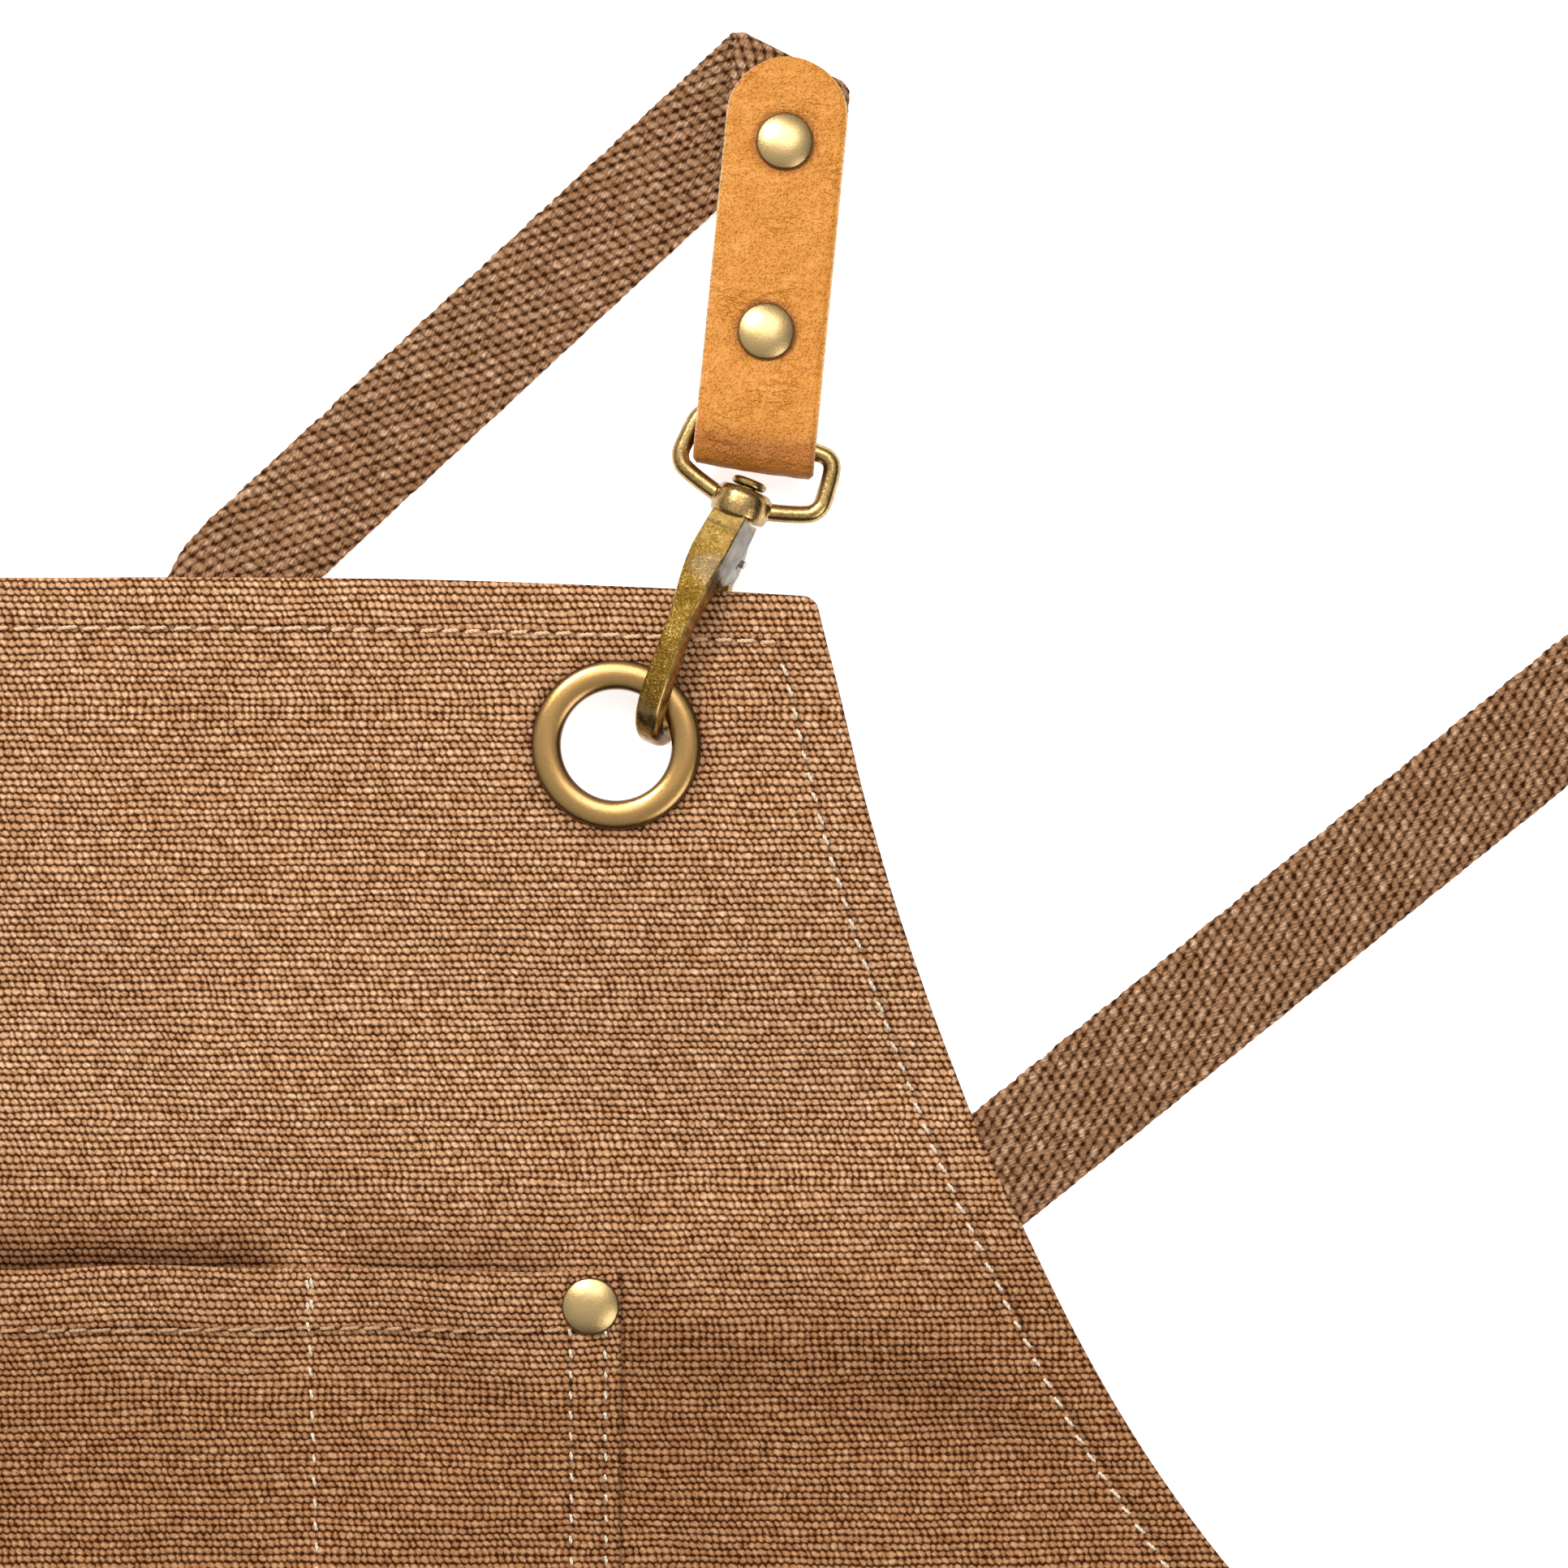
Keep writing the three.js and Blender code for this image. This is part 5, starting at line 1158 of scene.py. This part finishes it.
# ------------------------------------------------------------------ straps
def strap(s, tag):
    st = STRAPS[tag]
    c = np.array([q[0] for q in st]); w = np.array([q[1] for q in st]); n = np.array([unit(q[2]) for q in st])
    arc = np.concatenate([[0], np.cumsum(np.linalg.norm(np.diff(c, axis=0), axis=1))])
    keep = [0]
    for i in range(1, len(arc)):
        if arc[i] - arc[keep[-1]] > 0.4:
            keep.append(i)
    c, w, n, arc = c[keep], w[keep], n[keep], arc[keep]
    fine = np.linspace(0, arc[-1], int(arc[-1] / (0.8)))

    def hermite(p):
        g = np.gradient(p, arc, axis=0)
        k = np.clip(np.searchsorted(arc, fine, side="right") - 1, 0, len(arc) - 2)
        l = (arc[k + 1] - arc[k])[:, None]
        q = ((fine - arc[k])[:, None]) / l
        return (2 * q ** 3 - 3 * q * q + 1) * p[k] + (q ** 3 - 2 * q * q + q) * l * g[k] + (3 * q * q - 2 * q ** 3) * p[k + 1] + (q ** 3 - q * q) * l * g[k + 1]
    c, w, n = hermite(c), hermite(w), hermite(n)
    n /= np.linalg.norm(n, axis=1)[:, None]
    arc = fine
    loops = np.abs(np.sin(arc * math.pi / 2.5)) + 0.25 * bumps(arc, arc * 0, 61, 6)
    m = 15
    rings, uvs = [], []
    for i in range(len(c)):
        h = np.linalg.norm(w[i])
        q = np.linspace(-1, 1, m)
        xs = np.concatenate([q, q[::-1]])
        sg = np.concatenate([np.ones(m), -np.ones(m)])
        de = (1 - np.abs(xs)) * h
        thick = WEB_T / 2 * np.clip(1 - (1 - np.clip(de / 0.8, 0, 1)) ** 2.4, 0, 1) ** 0.5
        lump = 1 + 0.10 * np.exp(-((de - 1.6) / 0.9) ** 2)      # the selvedges are a little fuller
        reach = 1 + (0.34 * loops[i] - 0.28) * np.where(xs < 0, 1.0, 0.5) / 12.4 * np.clip(np.abs(xs) * 4 - 3, 0, 1)
        p = c[i] + (xs * reach)[:, None] * w[i] + (thick * sg * lump)[:, None] * n[i]
        rings.append(p)
        uvs.append(np.stack([np.full(2 * m, arc[i]) + xs * float(np.dot(w[i], unit(c[min(i + 1, len(c) - 1)] - c[max(i - 1, 0)]))), xs * 12.4], 1))
    rings, uvs = np.array(rings), np.array(uvs)
    M = rings.shape[1]

    def length(name, lo, hi):
        r = rings[lo:hi]
        v, f = loft_rings(r)
        f = [q for q in f if len(q) <= 4]
        v = np.vstack([v, r[0].mean(0), r[-1].mean(0)])
        a, b = len(v) - 2, len(v) - 1
        last = (len(r) - 1) * M
        f += [[a, (j + 1) % M, j] for j in range(M)] + [[b, last + j, last + (j + 1) % M] for j in range(M)]
        uv = np.vstack([uvs[lo:hi].reshape(-1, 2), [arc[lo], 0], [arc[hi - 1], 0]])
        v, f = mirrored(v, f, s)
        piece = new_object(name, v, outward(v, f), WEBBING, uv)
        return piece
    # the webbing is in two lengths that meet out of sight under the bib; the second hangs from the root
    cut = int(np.searchsorted(arc, 400.0))
    ob = length(f"webbing_strap_{tag}", 0, cut + 1)
    tail = length(f"webbing_strap_tail_{tag}", cut, len(rings))
    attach(tail, "root")
    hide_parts(f"strap_{tag}", f"strap_end_{tag}")
    d = unit([-0.7328, -0.6804, 0])
    a_pt = np.array([135.6, 111.3, 1.0]) + d * 84.0
    b_pt = np.array([135.6, 111.3, 1.0]) + d * 46.0
    if s < 0:
        a_pt[0] *= -1; b_pt[0] *= -1
    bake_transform(ob)
    return ob


# ------------------------------------------------------------------ snap hooks
def rounded_section(w, t, r, m=7):
    """Rectangle w across by t deep with rounded corners, as [across, out] rows."""
    r = min(r, 0.48 * w, 0.48 * t)
    out = []
    for cx, cy, a0 in ((w / 2 - r, t / 2 - r, 0), (-w / 2 + r, t / 2 - r, 90), (-w / 2 + r, -t / 2 + r, 180), (w / 2 - r, -t / 2 + r, 270)):
        for k in range(m):
            a = math.radians(a0 + 90 * k / (m - 1))
            out.append([cx + r * math.cos(a), cy + r * math.sin(a)])
    return np.array(out)


HOOK_LINE = [[2.7, 0.6, 8.2, 7.7, 0.5], [5.2, 1.4, 8.6, 7.8, 0.5], [8, 2.6, 8.7, 7.9, 0.5], [12.5, 5.3, 6.8, 8.0, 0.55], [18, 7.0, 5.3, 6.9, 0.55], [25, 7.7, 4.8, 5.0, 0.55], [30, 7.85, 4.7, 4.75, 0.6], [35, 7.7, 4.7, 4.95, 0.65], [40, 7.4, 4.6, 5.2, 0.7],
    [45, 6.5, 4.4, 5.2, 0.8], [48.5, 4.0, 4.2, 5.0, 1.1], [49.8, 0.2, 4.0, 4.8, 1.4], [49.0, -3.7, 4.0, 4.8, 1.6], [45.6, -6.5, 4.2, 4.8, 1.7], [40.8, -7.1, 4, 4.6, 1.6], [36.4, -7.2, 3.4, 4.0, 1.4]]


def joined(parts):
    V, F = [], []
    for v, f in parts:
        b = len(V)
        V += np.asarray(v).tolist(); F += [[i + b for i in q] for q in f]
    return np.array(V), F


def plate(outline, half):
    """Flat part: an outline in x, z given a thickness across y."""
    p = np.asarray(outline, float)
    n = len(p)
    v = np.vstack([np.stack([p[:, 0], np.full(n, -half), p[:, 1]], 1), np.stack([p[:, 0], np.full(n, half), p[:, 1]], 1)])
    f = [list(range(n)), [n + j for j in range(n)][::-1]] + [[j, n + j, n + (j + 1) % n, (j + 1) % n] for j in range(n)]
    return v, outward(v, f)


def cast(name, parts, cuts, mat, voxel, smooth_steps, M, s):
    """Joins closed shapes into one cast body with softened edges."""
    v, f = joined(parts)
    ob = new_object(name, v, f, mat, world=True)
    for cv, cf in cuts:
        c = new_object("cut", cv, cf, mat, world=True, smooth=False)
        m = ob.modifiers.new("cut", "BOOLEAN"); m.operation = "DIFFERENCE"; m.solver = "EXACT"; m.use_self = True; m.object = c
        with bpy.context.temp_override(object=ob, active_object=ob, selected_objects=[ob]):
            bpy.ops.object.modifier_apply(modifier=m.name)
        bpy.data.objects.remove(c)
    r = ob.modifiers.new("skin", "REMESH"); r.mode = "VOXEL"; r.voxel_size = voxel; r.adaptivity = 0
    with bpy.context.temp_override(object=ob, active_object=ob, selected_objects=[ob]):
        bpy.ops.object.modifier_apply(modifier=r.name)
    q = ob.modifiers.new("soft", "SMOOTH"); q.factor = 0.5; q.iterations = smooth_steps
    with bpy.context.temp_override(object=ob, active_object=ob, selected_objects=[ob]):
        bpy.ops.object.modifier_apply(modifier=q.name)
    me = ob.data
    co = np.zeros(len(me.vertices) * 3); me.vertices.foreach_get("co", co)
    co = place(co.reshape(-1, 3), M)
    me.vertices.foreach_set("co", rows(co).astype(np.float32).ravel())
    me.update()
    me.polygons.foreach_set("use_smooth", [True] * len(me.polygons))
    return ob


def machined(name, solid_, cuts, bevel, mat):
    """A closed solid with pieces cut out of it and its edges softened; hands back its points and faces."""
    ob = new_object(name, solid_[0], solid_[1], mat, world=True, smooth=False)
    for cv, cf in cuts:
        c = new_object("cut", cv, cf, mat, world=True, smooth=False)
        m = ob.modifiers.new("cut", "BOOLEAN"); m.operation = "DIFFERENCE"; m.solver = "EXACT"; m.object = c
        with bpy.context.temp_override(object=ob, active_object=ob, selected_objects=[ob]):
            bpy.ops.object.modifier_apply(modifier=m.name)
        bpy.data.objects.remove(c)
    b = ob.modifiers.new("bevel", "BEVEL"); b.width = bevel; b.segments = 3; b.limit_method = "ANGLE"; b.angle_limit = math.radians(35)
    with bpy.context.temp_override(object=ob, active_object=ob, selected_objects=[ob]):
        bpy.ops.object.modifier_apply(modifier=b.name)
    v = np.array([list(q.co) for q in ob.data.vertices]); f = [list(q.vertices) for q in ob.data.polygons]
    bpy.data.objects.remove(ob)
    return v, f


def hook_parts():
    fine = smooth_line(HOOK_LINE, 7)
    tang = np.gradient(fine[:, :2], axis=0); tang /= np.linalg.norm(tang, axis=1)[:, None]
    tang[0] = (1, 0)
    rings = []
    for (x, z, t, w, r), (tx, tz) in zip(fine, tang):
        sec = rounded_section(w, t, r)
        rings.append(np.stack([x - tz * sec[:, 1], sec[:, 0], z + tx * sec[:, 1]], 1))
    spine = loft_rings(rings)
    cheek = plate(round_profile([[3.4, -1.2], [8.0, -5.7], [13.0, -6.0], [14.9, -4.2], [15.9, 0.5], [16.6, 3.2], [17.5, 5.6], [8, 4.6], [3.4, 3.0]], radius=1.4, steps=4), 3.86)
    cheek[0][:, 1] *= 1 - 0.30 * np.clip((1.0 - cheek[0][:, 2]) / 7.0, 0, 1)
    pv, pf = lathe([[0, -6.2], [2.9, -6.2], [3.5, -5.9], [3.72, -5.4], [3.6, -4.8], [3.1, -4.45], [2.3, -4.4], [2.3, 6], [0, 6]], 40)
    post = (np.stack([pv[:, 2], pv[:, 0], pv[:, 1]], 1), pf)
    return spine, cheek, (post[0], outward(*post))


PIVOT = (10.6, -4.4)


def hooks(s, tag):
    lean, roll = math.radians(20.8), math.radians(20)
    a = np.array([-s * math.sin(lean), -math.cos(lean), 0]); left = np.array([-s * math.cos(lean), math.sin(lean), 0])
    up = np.array([0, 0, 1.0])
    o = HOOK_ORIGIN * np.array([s, 1, 1])
    z = up * math.cos(roll) + left * math.sin(roll)
    MH = frame_matrix(o, a, np.cross(z, a), z)
    ML = frame_matrix(o, a, np.cross(up, a), up)
    spine, cheek, post = hook_parts()
    slot_cut = plate([[7.0, -9.5], [7.0, -1.4], [16.5, -1.4], [16.5, -9.5]], 2.0)
    # the slit and the notch that show on the cheeks' outer faces
    slit = plate([[8.0, -2.3], [12.2, -1.7], [12.1, -0.9], [7.9, -1.4]], 6)
    notch = plate([[14.6, -3.4], [19.0, 1.6], [19.0, -4.5]], 6)
    cheek = machined("cheek", cheek, [slot_cut, slit, notch], 0.28, CAST)
    v, f = joined([spine, cheek, post])
    body = new_object(f"snap_hook_{tag}", place(v, MH), f, CAST)
    body.data.set_sharp_from_angle(angle=math.radians(40))
    N = vertex_normals(body)
    P = np.zeros(len(body.data.vertices) * 3); body.data.vertices.foreach_get("co", P)
    P = (P.reshape(-1, 3) * 1000 - OFF - o) @ MH[:3, :3]            # back to the hook's own frame
    nz, ny = N @ z, np.abs(N @ MH[:3, 1])
    set_attr(body, "face", ease((nz - 0.86) / 0.10) * ease((P[:, 2] - 2) / 2) * ease((46.5 - P[:, 0]) / 3))
    set_attr(body, "flank", ease((ny - 0.80) / 0.15) * ease((22 - P[:, 0]) / 6))
    set_attr(body, "tip", ease((P[:, 0] - 44.0) / 4.5) * ease((6.4 - P[:, 2]) / 2.0))
    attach(body, f"hook_{tag}"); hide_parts(f"hook_body_{tag}")
    px, pz = PIVOT
    out = [[px + 2.1 * math.cos(math.radians(60 + 210 * k / 14)), pz + 2.1 * math.sin(math.radians(60 + 210 * k / 14))] for k in range(15)]
    out += [[16, -8.0], [19, -8.9], [21, -8.9], [24, -8.3], [35.6, -8.2], [35.6, -6.1], [16, -5.4], [13.4, -3.6]]
    gate = cast(f"spring_gate_{tag}", [plate(out, 1.7)], [], CAST, 0.22, 2, MH, s)
    set_attr(gate, "face", np.full(len(gate.data.vertices), 0.4))
    set_attr(gate, "flank", np.zeros(len(gate.data.vertices)))
    set_attr(gate, "tip", np.zeros(len(gate.data.vertices)))
    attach(gate, f"gate_{tag}"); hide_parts(f"gate_lever_{tag}")
    # swivel loop with its collar
    half = [(-1.0, 5.0), (-2.1, 9.0), (-3.3, 12.6), (-4.4, 14.5), (-6.4, 15.5), (-9.5, 15.4), (-12.8, 15.1), (-14.9, 14.5), (-16.0, 13.1), (-16.2, 11.0), (-16.2, 5.0)]
    pts = half + [(-16.2, 0.0)] + [(x, -y) for x, y in half[::-1]]
    line = smooth_line([(x, y, 0.0) for x, y in pts], 6)
    rodm = tube(line, 1.85, 24)
    cv, cf = lathe(round_profile([[2.75, -3.9], [4.9, -4.1], [6.0, -2.7], [6.1, -0.4], [5.95, 1.6], [5.5, 2.3], [4.3, 2.3], [3.7, 0.9], [2.75, 0.4]], radius=0.7, steps=4), 72)
    collar = (np.stack([cv[:, 2], cv[:, 0], cv[:, 1]], 1), cf)
    collar = (collar[0], outward(*collar))
    loop = cast(f"square_swivel_loop_{tag}", [rodm, collar], [], LOOP, 0.24, 4, ML, s)
    N = vertex_normals(loop)
    # rim mask by steepness for the painted reflection and shade on the loop's sides
    set_attr(loop, "rim", 0.75 * ease((0.62 - N[:, 2]) / 0.55))
    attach(loop, f"loop_{tag}"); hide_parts(f"swivel_loop_{tag}")


for s, tag in ((1, "R"), (-1, "L")):
    leather_tab(s, tag)
    strap(s, tag)
    hooks(s, tag)

# the gate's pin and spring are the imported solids, in steel
for n, o in [(n, bpy.data.objects.get(n)) for n in ("gate_pin_R", "gate_pin_L", "gate_spring_R", "gate_spring_L")]:
    if o is not None:
        for i in range(max(1, len(o.material_slots))):
            if not o.material_slots:
                break
            o.material_slots[i].link = "OBJECT"
            o.material_slots[i].material = STEEL

# ------------------------------------------------------------------ floor, light, camera
fl = Tree("floor")
fl.out((0.80, 0.80, 0.80, 1.0), 0.9, Specular_IOR_Level=0.0, Emission_Color=(1.0, 1.0, 1.0, 1.0), Emission_Strength=0.72)
me = bpy.data.meshes.new("floor")
me.from_pydata([(-6, -6, -0.0002), (6, -6, -0.0002), (6, 6, -0.0002), (-6, 6, -0.0002)], [], [(0, 1, 2, 3)])
floor = bpy.data.objects.new("floor", me)
me.materials.append(fl.m)
bpy.context.scene.collection.objects.link(floor)

world = bpy.context.scene.world or bpy.data.worlds.new("world")
bpy.context.scene.world = world
world.use_nodes = True
wt = world.node_tree
bg = wt.nodes.get("Background")
# a studio that is bright overhead and to the upper left, and dark towards the horizon
_tc = wt.nodes.new("ShaderNodeTexCoord"); _sep = wt.nodes.new("ShaderNodeSeparateXYZ")
wt.links.new(_tc.outputs["Generated"], _sep.inputs[0])


def _wm(op, a, b):
    n = wt.nodes.new("ShaderNodeMath"); n.operation = op
    for s_, v_ in zip(n.inputs, (a, b)):
        if isinstance(v_, bpy.types.NodeSocket):
            wt.links.new(v_, s_)
        else:
            s_.default_value = v_
    return n.outputs[0]


_side = _wm("ADD", _wm("MULTIPLY", _sep.outputs[1], 0.34), _wm("MULTIPLY", _sep.outputs[0], -0.22))
_ramp = wt.nodes.new("ShaderNodeValToRGB")
wt.links.new(_wm("ADD", _sep.outputs[2], _side), _ramp.inputs[0])
_e = _ramp.color_ramp.elements
while len(_e) < 5:
    _e.new(0.5)
for _el, (_p, _v) in zip(_e, ((0.0, 0.03), (0.30, 0.05), (0.58, 0.42), (0.86, 0.62), (1.0, 0.74))):
    _el.position = _p; _el.color = (_v, _v, _v, 1)
wt.links.new(_ramp.outputs[0], bg.inputs[0])
bg.inputs[1].default_value = 1.0


def area_light(name, at, target, size, power, size_y=None, colour=(1, 1, 1)):
    d = bpy.data.lights.new(name, "AREA")
    d.energy = power; d.size = size; d.color = colour
    if size_y:
        d.shape = "RECTANGLE"; d.size_y = size_y
    o = bpy.data.objects.new(name, d)
    o.location = at
    o.rotation_euler = (Vector(target) - Vector(at)).to_track_quat("-Z", "Y").to_euler()
    bpy.context.scene.collection.objects.link(o)


CX, CY = 0.1337, (OY - 38.5) / 1000.0
area_light("key", (CX - 0.62, CY + 0.95, 1.15), (CX, CY, 0), 0.5, 19.0)
area_light("fill", (CX + 0.9, CY - 0.9, 1.1), (CX, CY, 0), 0.8, 6.0)
area_light("top", (CX + 0.15, CY + 0.75, 1.5), (CX, CY, 0), 0.9, 8.0)

cam = bpy.data.cameras.new("camera")
cam.type = "PERSP"; cam.lens = 100.0; cam.sensor_width = 36.0
cam.clip_start = 0.05; cam.clip_end = 20
co = bpy.data.objects.new("camera", cam)
co.location = (CX, CY, 0.322 * 100.0 / 36.0 + 0.010)
co.rotation_euler = (0, 0, 0)
bpy.context.scene.collection.objects.link(co)
bpy.context.scene.camera = co
bpy.context.scene.view_settings.view_transform = "Standard"
bpy.context.scene.view_settings.look = "None"
bpy.context.scene.view_settings.exposure = 0.0
